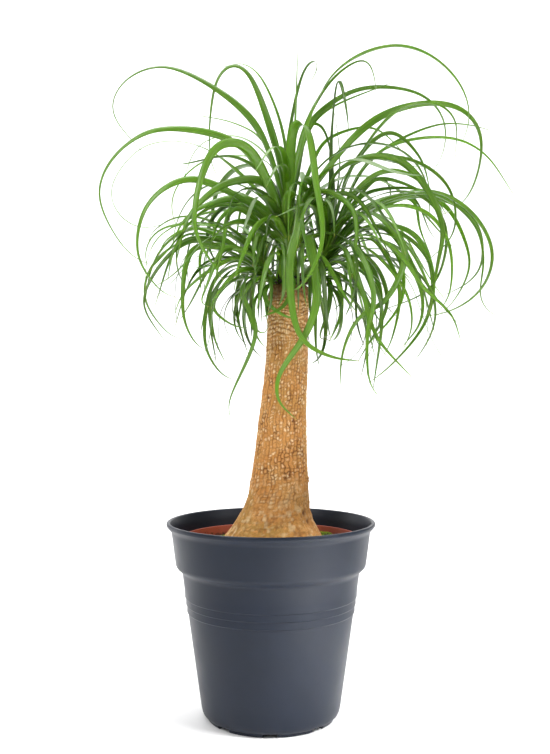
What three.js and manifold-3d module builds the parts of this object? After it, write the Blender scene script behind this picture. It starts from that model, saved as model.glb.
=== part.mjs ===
// A ponytail palm (Beaucarnea recurvata) in a two-part nursery pot.
//
// The plant stands in a terracotta-coloured growing pot filled with potting soil, and that pot
// stands loose inside a larger blue-grey one. Lengths are in millimetres, +Z is up, and the origin
// is the centre of the outer pot's foot on the surface it stands on. The front of the plant is -Y.

import * as THREE from 'three';
import { mergeVertices } from 'three/addons/utils/BufferGeometryUtils.js';
import Module from 'manifold-3d';

const wasm = await Module();
wasm.setup();

// ---------------------------------------------------------------- driving dimensions

const CLEARANCE = 0.3;            // gap left where two pieces rest on each other

const OUTER_POT = {
  height: 224,
  rimRadius: 120,
  footRadius: 73,
  footHeight: 5,
  baseRadius: 78.5,               // body radius just above the foot ring
  shoulderRadius: 102,            // body radius just below the shoulder
  shoulderHeight: 166,
  bandRadius: 109.8,              // radius at the bottom of the upper band
  bandHeight: 176,
  bandTopRadius: 114.6,
  bandTop: 214,
  wall: 2.2,
  stepHeights: [121.9, 130.4, 138.9],   // three fine steps round the body
  stepIn: 0.35,                   // how far the wall draws in under a step
  stepOut: 0.9,                   // and stands out over it
  drainHoles: 6,
  drainHoleRadius: 4.5,
  drainCircle: 46,
  footNotches: 8,
  footNotchWidth: 16,
  footNotchHeight: 3.4,
  centrePadRadius: 12,
  segments: 36,
};

const INNER_POT = {
  bottom: OUTER_POT.footHeight + OUTER_POT.wall + CLEARANCE,
  rimHeight: 206,
  rimRadius: 105,
  rimBand: 12,                    // height of the thicker band under the rim
  baseRadius: 74,
  neckRadius: 101.5,              // wall radius just below the rim band
  wall: 1.8,
  drainHoles: 6,
  drainHoleRadius: 5,
  drainCircle: 52,
  segments: 32,
};

const SOIL = {
  top: 193,
  rough: 1.6,                     // height of the lumps on its surface
  segments: 30,
};

const TRUNK = {
  top: 496.5,
  topCentre: 21,                  // the stem leans: its top is this far to +X of the pot's axis
  segments: 36,
  ridges: 18,                     // corky ridges round the stem
  ridgeDepth: 0.7,
};

const CROWN = {
  finest: 60,                     // steps that a blade's route is followed in
  ringSpacing: 58,
  fewestRings: 5,                 // cross-sections along a blade, the point not counted
  mostRings: 9,
  archSteps: 12,
  trunkRoom: 40,                  // hanging blades keep this far from the stem's centre line
};

const STUBS = {
  count: 8,                       // dry old leaf bases round the top of the stem
  circle: 9,                      // radius of the circle that they stand on
  rise: 5,
  pitch: [10, 45],
  reach: [16, 20],
  width: [6, 10],
};

// ---------------------------------------------------------------- the leaves that give the crown its shape

// Each row is one blade: its width, the angles in degrees that it is rolled by at its root and
// at its tip, and the spots that it passes on its way out from its shoot.

const MAIN_LEAVES = [
  // high loop on the left
  [9.5, 20, 66, [[10, -9, 604], [-17, -18, 676], [-64, -26, 717], [-123, -30, 740], [-165, -30, 723],
    [-180, -27, 691], [-139, -17, 638]]],
  // long outer arch, left
  [9.5, 25, 60, [[0, -9, 599], [-40, -17, 656], [-118, -26, 671], [-152, -26, 661], [-185, -26, 629],
    [-195, -24, 593], [-160, -16, 529], [-129, -11, 515]]],
  // second outer arch, left
  [7.5, 30, 80, [[-22, 13, 613], [-78, 21, 659], [-118, 26, 669], [-156, 26, 659], [-189, 26, 614],
    [-185, 26, 590], [-160, 21, 567], [-130, 16, 567], [-111, 11, 577]]],
  // tall arch left of centre
  [10, 35, 60, [[7, -3, 649], [-27, -12, 740], [-43, -14, 748], [-61, -14, 732], [-69, -9, 636],
    [-56, -6, 612]]],
  // thin blade beside it
  [5.5, 20, 30, [[16, 24, 667], [2, 28, 717], [-18, 32, 753], [-37, 36, 764], [-72, 41, 755]]],
  // upright needle
  [4, 0, 20, [[25, -10, 627], [29, -6, 708], [31, -2, 775]]],
  // top curl
  [9, 60, 60, [[20, 9, 664], [40, 12, 751], [50, 8, 760], [55, 4, 752], [31, -6, 704]]],
  // front fold, right
  [12.5, 0, -10, [[22, -17, 611], [25, -34, 667], [30, -44, 674], [38, -52, 668], [49, -72, 600],
    [55, -78, 532], [28, -74, 483], [14, -70, 483]]],
  // front fold, centre
  [13.5, 0, -15, [[16, -21, 574], [19, -32, 593], [30, -49, 593], [30, -64, 550], [21, -72, 519],
    [32, -80, 433], [64, -76, 412], [100, -70, 407]]],
  // front blade down the trunk
  [12, 0, 20, [[36, -25, 545], [38, -38, 550], [43, -50, 540], [50, -68, 474], [40, -70, 440],
    [8, -74, 389], [8, -74, 365], [29, -70, 343]]],
  // front fold, left
  [12, 10, -20, [[10, -24, 558], [4, -36, 567], [-15, -56, 555], [-40, -70, 497]]],
  // front drop, left
  [10, 10, 10, [[11, -34, 526], [5, -49, 528], [-4, -70, 511], [-15, -82, 460]]],
  // bold arch, left
  [12, 20, 25, [[-5, -44, 609], [-22, -67, 636], [-38, -80, 642], [-59, -90, 633], [-80, -102, 549],
    [-49, -90, 490]]],
  // middle arch, left
  [9.5, 35, 40, [[-10, -18, 576], [-90, -40, 611], [-136, -44, 583], [-148, -42, 526],
    [-119, -34, 483], [-104, -30, 479]]],
  // broad bright arch, left
  [11, 30, 30, [[6, -15, 586], [-8, -25, 610], [-51, -45, 604], [-89, -56, 568], [-104, -54, 516]]],
  // lower bright arch, left
  [11, 30, 30, [[-15, 0, 589], [-41, -10, 595], [-81, -28, 580], [-99, -32, 564], [-111, -34, 538]]],
  // back arch, left
  [7, 20, 60, [[-3, 19, 647], [-42, 32, 676], [-85, 39, 667], [-109, 39, 615]]],
  // low back arch, left
  [8, 30, 50, [[-3, 30, 644], [-23, 36, 652], [-72, 48, 653], [-102, 52, 635], [-119, 54, 608],
    [-118, 53, 581], [-107, 50, 561]]],
  // thin level blade, left
  [4.5, 20, 20, [[-11, 52, 676], [-44, 62, 699], [-102, 70, 713]]],
  // highest loop, right
  [9.5, 45, 72, [[30, -1, 638], [55, -4, 712], [76, -2, 743], [107, -4, 763], [147, -12, 769],
    [186, -20, 752], [218, -24, 714], [224, -26, 678], [207, -26, 636]]],
  // thin hook, right
  [5, 20, 20, [[38, 6, 677], [77, 12, 743], [111, 14, 761], [122, 10, 731], [121, 8, 711]]],
  // upper arch, right
  [8, 45, 65, [[35, 14, 655], [46, 18, 689], [104, 24, 730], [177, 22, 723], [203, 20, 694],
    [203, 18, 655], [186, 16, 624]]],
  // thin straight blade, right
  [4.5, 20, 20, [[38, 20, 663], [60, 28, 701], [153, 40, 746]]],
  // large outer loop, right
  [10, 45, 68, [[52, 8, 613], [124, 14, 693], [191, 10, 710], [226, 6, 699], [243, 2, 672],
    [237, -4, 620], [217, -8, 586], [156, -12, 564]]],
  // pale front blade, left
  [8, 10, 10, [[-36, -46, 577], [-47, -54, 567], [-51, -60, 540], [-63, -62, 485]]],
  // front arch, right
  [8, 10, 10, [[58, -30, 583], [77, -38, 595], [96, -46, 587], [132, -56, 522]]],
  // front hanging blade, right
  [9.5, 10, 0, [[39, -33, 583], [57, -46, 596], [87, -62, 576], [93, -66, 556], [88, -70, 496]]],
  // short front drop, right
  [8.5, 0, 10, [[46, -40, 527], [57, -48, 522], [79, -56, 483], [94, -56, 461]]],
  // crossed blade, left
  [8, 10, 20, [[25, -36, 493], [14, -50, 468], [-11, -56, 455]]],
  // crossed blade, right
  [8, 10, 20, [[-6, -39, 487], [-5, -39, 475], [17, -48, 457], [32, -50, 455]]],
  // folded blade, left
  [9, 10, 0, [[-19, -8, 578], [-33, -14, 586], [-57, -24, 569], [-69, -26, 536]]],
  // near fold, left
  [10, 10, -10, [[0, -36, 551], [-8, -42, 543], [-18, -50, 506]]],
  // small dark curl, left
  [6.5, 30, 40, [[8, 48, 585], [-3, 54, 616], [-15, 56, 625], [-27, 56, 622], [-34, 54, 611]]],
  // backward arch, left
  [8, 30, 40, [[-1, 23, 573], [-23, 28, 600], [-46, 34, 610], [-71, 38, 606], [-104, 40, 571],
    [-109, 38, 546]]],
  // inner fold, right
  [7, 0, 10, [[30, 35, 625], [48, 42, 694], [60, 42, 691], [71, 42, 660], [69, 40, 635]]],
  // thin inner arch, right
  [6, 20, 30, [[34, 36, 601], [49, 50, 646], [66, 54, 676], [111, 56, 693], [132, 54, 688],
    [163, 50, 657]]],
];

const LEFT_LEAVES = [
  // long drop, left
  [8, 0, 40, [[-21, -35, 503], [-32, -44, 487], [-16, -52, 441], [-46, -56, 360], [-44, -56, 343]]],
  // side arch, far left
  [7, 20, 40, [[-48, 14, 560], [-118, 22, 568], [-140, 22, 555], [-148, 22, 534], [-145, 22, 518]]],
  // side arch, cupped
  [7, 20, 40, [[-52, -16, 546], [-88, -22, 559], [-118, -28, 544], [-127, -30, 526]]],
  // side fall, far left
  [7, 20, 40, [[-90, -20, 545], [-143, -32, 477], [-116, -32, 425]]],
  // side fall, hooked
  [7, 20, 40, [[-65, 12, 550], [-112, 15, 544], [-142, 16, 515], [-147, 16, 480], [-116, 15, 438],
    [-102, 14, 434]]],
  // side drop, left
  [8.5, 10, 20, [[-52, -28, 533], [-83, -38, 535], [-93, -42, 520], [-96, -48, 455], [-82, -48, 426],
    [-72, -48, 420]]],
  // low hook, left
  [7.5, 10, 20, [[-41, -18, 521], [-64, -17, 500], [-74, -20, 426], [-55, -20, 393], [-40, -18, 386]]],
  // low slant, left
  [7, 10, 20, [[-37, -27, 513], [-59, -25, 494], [-67, -28, 469], [-63, -30, 433], [-50, -30, 404]]],
  // low swing, left
  [6.5, 10, 20, [[-29, -32, 504], [-55, -30, 488], [-64, -34, 467], [-42, -34, 448], [-23, -32, 445]]],
  // thin far arch, left
  [5.5, 20, 30, [[-33, 18, 544], [-74, 24, 575], [-112, 24, 578], [-140, 20, 559], [-144, 18, 547]]],
  // high thin arch, left
  [6, 20, 30, [[-25, 30, 582], [-75, 32, 585], [-131, 26, 557], [-143, 24, 540]]],
  // crossing fall, left
  [6.5, 20, 30, [[-37, -30, 523], [-68, -40, 509], [-98, -42, 482], [-108, -42, 457]]],
  // short hook, left
  [8, 10, 30, [[-23, -34, 526], [-50, -46, 533], [-70, -52, 492], [-76, -54, 471], [-67, -54, 467]]],
  // dark drop, left
  [7, 10, 10, [[-36, 2, 537], [-73, 5, 543], [-81, 5, 534], [-81, 5, 486]]],
  // pale drop, left
  [8, 10, 10, [[-32, -53, 508], [-62, -62, 475], [-65, -62, 464]]],
  // short dark blade, left
  [9, 10, 20, [[-12, -46, 499], [-21, -52, 494], [-34, -56, 473]]],
  // thin plumb blade, left
  [5.5, 10, 10, [[-19, -32, 500], [-29, -23, 492], [-38, -22, 448]]],
  // low curve, left
  [7, 10, 20, [[-19, -40, 496], [-28, -34, 486], [-28, -29, 472], [-13, -29, 431], [-4, -28, 422]]],
  // dry curl, left
  [5.5, 10, 30, [[-18, -55, 471], [-14, -57, 440], [-6, -55, 439], [-2, -52, 451]]],
  // thin far drop, left
  [6, 20, 20, [[-36, -5, 538], [-90, -14, 549], [-108, -16, 537], [-133, -17, 468]]],
  // inner drop, left
  [5.5, 20, 20, [[-37, 25, 542], [-67, 41, 559], [-107, 44, 558], [-113, 44, 524], [-101, 44, 492]]],
];

const RIGHT_LEAVES = [
  // upright fold, right
  [9, 80, 60, [[71, 16, 597], [70, 16, 665], [78, 4, 738], [89, -8, 673], [86, -8, 658]]],
  // narrow upright, right
  [6, 60, 60, [[82, 42, 645], [79, 42, 686], [74, 42, 716]]],
  // second loop, right
  [8, 45, 50, [[94, -8, 629], [146, -14, 695], [188, -18, 701], [209, -20, 682], [209, -20, 639]]],
  // thin outer blade, right
  [5, 20, 20, [[114, 30, 643], [196, 40, 691], [238, 42, 692], [269, 44, 684]]],
  // furthest blade, right
  [5.5, 20, 20, [[108, 9, 635], [148, 12, 663], [214, 14, 669], [249, 12, 651], [285, 8, 598]]],
  // broad falling blade, right
  [12.5, 20, 20, [[74, -30, 619], [137, -55, 630], [186, -66, 560], [181, -64, 509], [173, -58, 458]]],
  // short arch, right
  [8, 20, 20, [[92, 5, 630], [138, 8, 675], [173, 4, 644], [185, 0, 600]]],
  // returning arch, right
  [8, 30, 60, [[84, -15, 620], [105, -20, 636], [159, -30, 634], [199, -36, 602], [204, -38, 551],
    [162, -34, 509]]],
  // widest arch, right
  [8, 35, 45, [[84, -18, 566], [133, -32, 593], [186, -40, 596], [228, -42, 568], [247, -42, 526],
    [234, -40, 487], [199, -36, 463], [160, -32, 457]]],
  // flicked tip, right
  [7.5, 35, 50, [[97, -1, 573], [148, -8, 597], [193, -14, 596], [233, -16, 562], [242, -16, 524],
    [238, -16, 480], [248, -16, 464], [260, -16, 458]]],
  // inner arch, right
  [8, 35, 50, [[116, 16, 580], [169, 20, 604], [205, 20, 592], [233, 17, 531], [230, 16, 508],
    [209, 12, 473], [193, 10, 461]]],
  // lower arch, right
  [8, 30, 40, [[101, -21, 568], [146, -24, 584], [179, -30, 572], [200, -32, 539], [200, -32, 482],
    [186, -30, 460]]],
  // low drop, far right
  [8, 20, 20, [[99, -45, 547], [135, -69, 528], [166, -76, 485], [195, -78, 456], [205, -78, 426]]],
  // low hook, right
  [8.5, 10, 20, [[82, -45, 542], [102, -69, 515], [111, -80, 473], [104, -82, 440], [107, -80, 382],
    [118, -78, 367]]],
  // low slant, right
  [8, 10, 20, [[82, -43, 525], [99, -70, 484], [114, -77, 434], [154, -78, 387]]],
  // back drop, right
  [8, 20, 40, [[121, 10, 567], [168, 12, 556], [189, 12, 509], [181, 10, 456], [140, 8, 404],
    [108, 6, 379]]],
  // bowed front blade, right
  [10, 10, 20, [[83, -30, 569], [111, -42, 573], [147, -60, 529], [124, -68, 472], [96, -70, 455],
    [78, -70, 417], [75, -70, 375]]],
  // back arch, right
  [9, 20, 30, [[79, -10, 575], [92, -19, 596], [125, -22, 622], [157, -24, 619], [187, -30, 589],
    [198, -32, 570]]],
  // low back arch, right
  [7, 20, 30, [[96, 18, 602], [128, 18, 623], [193, 14, 596], [202, 12, 579]]],
  // level blade, right
  [6, 20, 20, [[88, 24, 575], [112, 28, 607], [181, 28, 611], [211, 26, 591]]],
  // back hook, right
  [6.5, 20, 40, [[96, 36, 594], [131, 38, 628], [141, 38, 619], [143, 38, 587]]],
  // inner hook, right
  [7.5, 10, 20, [[105, 23, 580], [133, 24, 600], [168, 26, 599], [176, 26, 565], [189, 26, 533]]],
  // thin inner drop, right
  [5, 10, 20, [[110, 30, 584], [166, 36, 607], [191, 36, 560], [200, 36, 552]]],
  // middle arch, right
  [7.5, 20, 20, [[86, -7, 547], [126, -8, 561], [165, -11, 543], [185, -12, 509], [182, -12, 468]]],
  // middle drop, right
  [8, 20, 20, [[90, -19, 542], [107, -25, 547], [120, -32, 538], [143, -40, 490], [134, -40, 430],
    [125, -40, 413]]],
  // broad drop, right
  [9, 10, 20, [[91, -27, 552], [117, -35, 559], [136, -42, 548], [166, -50, 486], [165, -50, 450],
    [143, -50, 421]]],
  // thin drop, right
  [6, 10, 20, [[94, -32, 538], [119, -40, 524], [151, -46, 481], [156, -46, 445], [145, -46, 417]]],
  // outer return, right
  [7, 20, 40, [[92, 5, 565], [127, 8, 589], [168, 10, 600], [205, 10, 595], [232, 10, 579],
    [245, 10, 555], [244, 10, 517], [227, 10, 498], [196, 10, 483]]],
  // inner return, right
  [6.5, 20, 40, [[94, 9, 583], [132, 4, 603], [167, 1, 602], [192, 0, 583], [203, 0, 555],
    [186, -1, 495], [116, -6, 462]]],
  // near fall, right
  [9.5, 10, 10, [[74, -33, 519], [86, -35, 513], [114, -42, 463], [123, -42, 450]]],
  // second fall, right
  [9, 10, 10, [[81, -21, 527], [96, -27, 521], [114, -35, 486], [111, -36, 435]]],
  // third fall, right
  [9, 10, 10, [[87, -1, 541], [103, 3, 536], [125, 1, 496], [126, 0, 455], [118, 0, 436]]],
  // low drop, right of the stem
  [8.5, 10, 10, [[70, -22, 510], [79, -34, 464], [65, -34, 428]]],
  // curled drop, right of the stem
  [7.5, 10, 30, [[65, -12, 502], [66, -20, 469], [56, -18, 434], [64, -16, 433]]],
  // short drop, right of the stem
  [7, 10, 20, [[75, 4, 511], [95, -2, 488], [85, -4, 458]]],
  // slanting drop, right
  [7.5, 10, 20, [[89, -35, 530], [113, -41, 518], [129, -46, 473], [95, -47, 404]]],
  // bright slant, right
  [7.5, 20, 20, [[93, -13, 545], [124, -15, 546], [145, -16, 527], [149, -16, 478], [108, -16, 423]]],
];

// ---------------------------------------------------------------- small helpers

const mix = (a, b, t) => a + (b - a) * t;
const clamp = THREE.MathUtils.clamp;
const radians = THREE.MathUtils.degToRad;
const vector = (x, y, z) => new THREE.Vector3(x, y, z);
const up = vector(0, 0, 1);

// How far a turn has gone at t: nothing below 0, all of it above 1, eased between.
const bend = (t) => clamp(t, 0, 1) ** 2 * (3 - 2 * clamp(t, 0, 1));

// Repeatable random draws between two limits.
function dice(seed) {
  let state = seed;
  return (low, high) => {
    state = (state * 1664525 + 1013904223) % 4294967296;
    return mix(low, high, state / 4294967296);
  };
}

// A closed geometry as a solid: shared corners are merged and empty triangles left out.
function solid(geometry) {
  geometry.deleteAttribute('normal');
  geometry.deleteAttribute('uv');
  const merged = mergeVertices(geometry, 1e-4);
  const corners = merged.index.array;
  const triangles = [];
  for (let i = 0; i < corners.length; i += 3) {
    const [a, b, c] = corners.slice(i, i + 3);
    if (a !== b && b !== c && c !== a) triangles.push(a, b, c);
  }
  return new wasm.Manifold(new wasm.Mesh({
    numProp: 3,
    vertProperties: new Float32Array(merged.attributes.position.array),
    triVerts: new Uint32Array(triangles),
  }));
}

// Of a solid that came out in several shells, the main one: scraps and sealed hollows go.
function mainBody(body) {
  return body.decompose().reduce((a, b) => (b.volume() > a.volume() ? b : a));
}

function mesh(name, body, material) {
  const { vertProperties, triVerts } = body.getMesh();
  const geometry = new THREE.BufferGeometry();
  geometry.setAttribute('position', new THREE.BufferAttribute(vertProperties, 3));
  geometry.setIndex(new THREE.BufferAttribute(triVerts, 1));
  geometry.computeVertexNormals();
  const result = new THREE.Mesh(geometry, material);
  result.name = name;
  return result;
}

// A body turned about +Z from a [radius, height] outline that runs from axis to axis.
function turned(outline, segments) {
  const points = outline.map(([radius, height]) => new THREE.Vector2(radius, height));
  return solid(new THREE.LatheGeometry(points, segments).rotateX(Math.PI / 2));
}

// A body stretched over rings of points, each ring anticlockwise seen from ahead. Both ends
// close on a point, which is the ring's middle unless another is given.
function skin(rings, startPoint, endPoint) {
  const count = rings[0].length;
  const middle = (ring) => ring.reduce((sum, p) => sum.add(p), vector(0, 0, 0)).divideScalar(count);
  const points = [startPoint ?? middle(rings[0]), ...rings.flat(), endPoint ?? middle(rings.at(-1))];
  const last = points.length - 1;
  const at = (ring, k) => 1 + ring * count + (k % count);
  const index = [];
  for (let k = 0; k < count; k++) {
    index.push(0, at(0, k + 1), at(0, k));
    for (let ring = 0; ring < rings.length - 1; ring++) {
      index.push(at(ring, k), at(ring, k + 1), at(ring + 1, k + 1));
      index.push(at(ring, k), at(ring + 1, k + 1), at(ring + 1, k));
    }
    index.push(last, at(rings.length - 1, k), at(rings.length - 1, k + 1));
  }
  const geometry = new THREE.BufferGeometry().setFromPoints(points);
  geometry.setIndex(index);
  return solid(geometry);
}

// Equal turns round the Z axis, for holes, notches and the like.
function around(count, make) {
  return Array.from({ length: count }, (_, i) => make(2 * Math.PI * i / count));
}

function standingCylinder(radius, low, high, radiusFromAxis, angle) {
  const cylinder = new THREE.CylinderGeometry(radius, radius, high - low, 10);
  cylinder.rotateX(Math.PI / 2);
  cylinder.translate(radiusFromAxis, 0, (low + high) / 2);
  return solid(cylinder.rotateZ(angle));
}

// ---------------------------------------------------------------- outer pot

// Thin moulded pot: foot ring, straight taper, three fine steps, a shoulder, a plain band
// and a rolled lip.
function outerPotOutline() {
  const p = OUTER_POT;
  const slope = (p.shoulderRadius - p.baseRadius) / (p.shoulderHeight - p.footHeight);
  const body = (height) => p.baseRadius + slope * (height - p.footHeight);
  const steps = p.stepHeights.flatMap((height) => [
    [body(height) - p.stepIn, height - 0.8],
    [body(height) + p.stepOut, height + 0.3],
  ]);
  const overSteps = p.stepHeights.at(-1) + 9;
  const outside = [
    [0, 0],
    [p.centrePadRadius, 0],
    [p.centrePadRadius, p.footHeight],
    [p.footRadius - 5, p.footHeight],
    [p.footRadius - 5, 0],
    [p.footRadius, 0],
    [p.footRadius + 1, p.footHeight - 1],
    [p.baseRadius - 1, p.footHeight],
    [p.baseRadius + 0.3, p.footHeight + 1.8],
    ...steps,
    [body(overSteps), overSteps],
    [p.shoulderRadius, p.shoulderHeight],
    [p.shoulderRadius + 1.8, p.shoulderHeight + 3.6],
    [p.bandRadius - 1.2, p.bandHeight - 3],
    [p.bandRadius, p.bandHeight],
    [p.bandTopRadius, p.bandTop],
    [p.rimRadius - 2.4, p.bandTop + 3.2],
    [p.rimRadius - 0.2, p.height - 4],
    [p.rimRadius, p.height - 2],
    [p.rimRadius - 1.2, p.height],
  ];
  const inside = [
    [p.rimRadius - 3.4, p.height - 0.4],
    [p.bandTopRadius - p.wall + 0.8, p.bandTop + 1],
    [p.bandRadius - p.wall, p.bandHeight],
    [p.shoulderRadius - p.wall + 0.6, p.shoulderHeight + 3],
    [p.baseRadius - p.wall + 0.4, p.footHeight + p.wall + 1.5],
    [p.baseRadius - p.wall - 1, p.footHeight + p.wall],
    [0, p.footHeight + p.wall],
  ];
  return [...outside, ...inside];
}

function outerPot() {
  const p = OUTER_POT;
  const holes = around(p.drainHoles, (angle) => standingCylinder(
    p.drainHoleRadius, p.footHeight - 1, p.footHeight + p.wall + 1, p.drainCircle, angle));
  const notches = around(p.footNotches, (angle) => {
    const box = new THREE.BoxGeometry(10, p.footNotchWidth, 2 * p.footNotchHeight);
    box.translate(p.footRadius - 2.5, 0, 0);
    return solid(box.rotateZ(angle - Math.PI / 2));
  });
  return wasm.Manifold.difference([turned(outerPotOutline(), p.segments), ...holes, ...notches]);
}

// ---------------------------------------------------------------- inner pot

function innerWallRadius(height) {
  const p = INNER_POT;
  const low = p.bottom + 2;
  return mix(p.baseRadius, p.neckRadius, (height - low) / (p.rimHeight - p.rimBand - low)) - p.wall;
}

function innerPot() {
  const p = INNER_POT;
  const bandFoot = p.rimHeight - p.rimBand;
  const body = turned([
    [0, p.bottom],
    [p.baseRadius - 2, p.bottom],
    [p.baseRadius, p.bottom + 2],
    [p.neckRadius, bandFoot],
    [p.rimRadius - 0.8, bandFoot + 0.6],
    [p.rimRadius - 0.5, bandFoot + 2],
    [p.rimRadius, p.rimHeight - 1],
    [p.rimRadius - 0.8, p.rimHeight],
    [p.rimRadius - 2.2, p.rimHeight],
    [p.rimRadius - 2.8, p.rimHeight - 1.2],
    [innerWallRadius(bandFoot), bandFoot - 1],
    [innerWallRadius(p.bottom + 4), p.bottom + 4],
    [p.baseRadius - p.wall - 2, p.bottom + p.wall],
    [0, p.bottom + p.wall],
  ], p.segments);
  const holes = around(p.drainHoles, (angle) => standingCylinder(
    p.drainHoleRadius, p.bottom - 1, p.bottom + p.wall + 1, p.drainCircle, angle));
  return wasm.Manifold.difference([body, ...holes]);
}

// ---------------------------------------------------------------- stem

// The stem's left and right edges from below the soil to its flat top: [height, left, right].
// Under the soil the swollen base rounds in; above it the flare runs up into a leaning stem.
const STEM_OUTLINE = [
  [142, -24, 24], [150, -48, 46], [165, -64, 61], [180, -69, 66], [193, -66, 63], [206, -55, 58],
  [218, -45.5, 52.5], [229, -38, 47], [248, -28.5, 44], [285, -21, 42], [340, -14, 40.5],
  [396, -7, 42], [451, -4, 43], [488, -2, 44], [493.5, -0.5, 43], [TRUNK.top, 3, 39],
];

// The stem, grown outwards on all sides by a little where it cuts its own hole in the soil.
function stem(grow) {
  const edges = new THREE.CatmullRomCurve3(
    STEM_OUTLINE.map(([height, left, right]) => vector(left, right, height)), false, 'centripetal');
  const flareTop = 260;
  const rings = edges.getPoints(27).map(({ x: left, y: right, z: height }) => {
    const centre = (left + right) / 2;
    const radius = (right - left) / 2;
    const flare = clamp((flareTop - height) / (flareTop - SOIL.top), 0, 1);
    return around(TRUNK.segments, (angle) => {
      const lobes = 0.025 * flare * Math.cos(3 * angle + 0.8);
      const corky = Math.cos(TRUNK.ridges * angle) * (0.6 + 0.4 * Math.sin(height / 7 + 5 * angle));
      const relief = height < TRUNK.top - 1 ? TRUNK.ridgeDepth * (1 - 0.5 * flare) * corky : 0;
      const reach = radius * (1 + lobes) + relief + grow;
      return vector(centre + reach * Math.cos(angle), reach * Math.sin(angle), height);
    });
  });
  return skin(rings);
}

// ---------------------------------------------------------------- soil and moss

const soilBump = (x, y) => Math.sin(x / 9 + 1.3) * Math.cos(y / 7) + 0.5 * Math.sin(y / 4 + x / 13);

function soil() {
  const floor = INNER_POT.bottom + INNER_POT.wall + CLEARANCE;
  const foot = INNER_POT.baseRadius - INNER_POT.wall - 2.6;
  const rim = innerWallRadius(SOIL.top) - 0.5;
  const ring = (radius, height, rough) => around(SOIL.segments, (angle) => {
    const x = radius * Math.cos(angle);
    const y = radius * Math.sin(angle);
    return vector(x, y, height + rough * soilBump(x, y));
  });
  const body = skin([
    ring(foot, floor, 0),
    ring(rim, SOIL.top - 1, 0),
    ring(rim - 7, SOIL.top, SOIL.rough),
    ring(rim - 17, SOIL.top, SOIL.rough),
    ring(rim - 28, SOIL.top + 1, SOIL.rough),
  ], vector(0, 0, floor), vector(0, 0, SOIL.top + 3));
  return body.subtract(stem(CLEARANCE + 0.1));
}

// A low cushion of moss: a lumpy dome on the soil, long way round the pot.
function moss(ground, { angle, radius, length, breadth, height }) {
  const rise = [-3, 0.35, 0.75, 1];
  const shrink = [1, 0.95, 0.72, 0.38];
  const rings = rise.map((lift, i) => around(18, (turn) => {
    const lump = 1 + 0.12 * Math.sin(5 * turn + 2 * i) + 0.06 * Math.cos(3 * turn);
    const across = shrink[i] * lump * breadth * Math.cos(turn);
    const along = shrink[i] * lump * length * Math.sin(turn);
    const level = i === 0 ? -3 : lift * height * (1 + 0.1 * Math.sin(4 * turn + i));
    return vector(radius + across, along, SOIL.top + level).applyAxisAngle(up, angle);
  }));
  return mainBody(skin(rings).subtract(ground.translate([0, 0, CLEARANCE])));
}

// ---------------------------------------------------------------- leaf crown

// Short shoots on top of the stem, which the blades grow from: the line each one follows and
// its radius at the foot and the tip. They are one body with their blades.
const SHOOTS = {
  main: { spine: [[19, -1], [20, -1], [20, 0]], heights: [0, 34, 68], radii: [15, 6] },
  left: { spine: [[6, -3], [-3, -3], [-13, -1]], heights: [0, 11, 27], radii: [7.5, 6] },
  right: { spine: [[34, 5], [47, 9], [68, 14]], heights: [0, 14, 40], radii: [12, 10] },
};

function shootLine({ spine, heights }) {
  const foot = TRUNK.top + CLEARANCE;
  return new THREE.CatmullRomCurve3(spine.map(([x, y], i) => vector(x, y, foot + heights[i])));
}

function shootCore(shoot) {
  const line = shootLine(shoot);
  const rings = line.getPoints(4).map((centre, i) => {
    const radius = mix(shoot.radii[0], shoot.radii[1], i / 4);
    return around(12, (angle) => vector(
      centre.x + radius * Math.cos(angle), centre.y + radius * Math.sin(angle), centre.z));
  });
  return skin(rings);
}

// Where a blade that leaves in a given direction grows out of its shoot: steep blades, the
// young ones, near the tip and flat ones lower down, all set a little off the middle.
function bladeRoot(shoot, direction) {
  const height = mix(0.15, 0.95, Math.max(0, direction.z));
  const middle = shootLine(shoot).getPoint(height);
  const offset = 0.6 * mix(shoot.radii[0], shoot.radii[1], height);
  return middle.add(vector(direction.x * offset, direction.y * offset, 0));
}

function heading(azimuth, pitch) {
  const flat = Math.cos(pitch);
  return vector(flat * Math.cos(azimuth), flat * Math.sin(azimuth), Math.sin(pitch));
}

// Narrow at the root, widest at a fifth of the length, then a long taper to a hair.
const bladeTaper = (t) => mix(0.45, 1, bend(t / 0.2)) * (1 - t ** 1.7) ** 0.85;

// One strap-shaped blade along a route: flat above, with a shallow keel below, rolled about
// its own line from one angle to another.
function blade(route, width, rollStart, rollEnd) {
  const line = new THREE.CatmullRomCurve3(route, false, 'centripetal');
  const spots = line.getSpacedPoints(CROWN.finest);
  const ringCount = clamp(
    Math.round(line.getLength() / CROWN.ringSpacing), CROWN.fewestRings, CROWN.mostRings);
  const outward = spots[CROWN.finest / 2].clone().sub(spots[0]).setZ(0);
  const side = up.clone().cross(outward).normalize();
  const rings = [];
  let nextRing = 0;
  for (let step = 0; step < CROWN.finest; step++) {
    const ahead = spots[step + 1].clone().sub(spots[step]).normalize();
    side.addScaledVector(ahead, -side.dot(ahead)).normalize();
    if (step < nextRing) continue;
    const t = step / CROWN.finest;
    const roll = radians(mix(rollStart, rollEnd, t));
    const edge = side.clone().applyAxisAngle(ahead, roll);
    const upper = ahead.clone().cross(edge);
    const half = width * bladeTaper(t) / 2;
    const keel = Math.max(0.85, 0.24 * half);
    rings.push([
      spots[step].clone().addScaledVector(edge, half),
      spots[step].clone().addScaledVector(edge, -half),
      spots[step].clone().addScaledVector(upper, -keel),
    ]);
    nextRing = Math.round(CROWN.finest * rings.length / ringCount);
  }
  return skin(rings, undefined, spots.at(-1));
}

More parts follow.
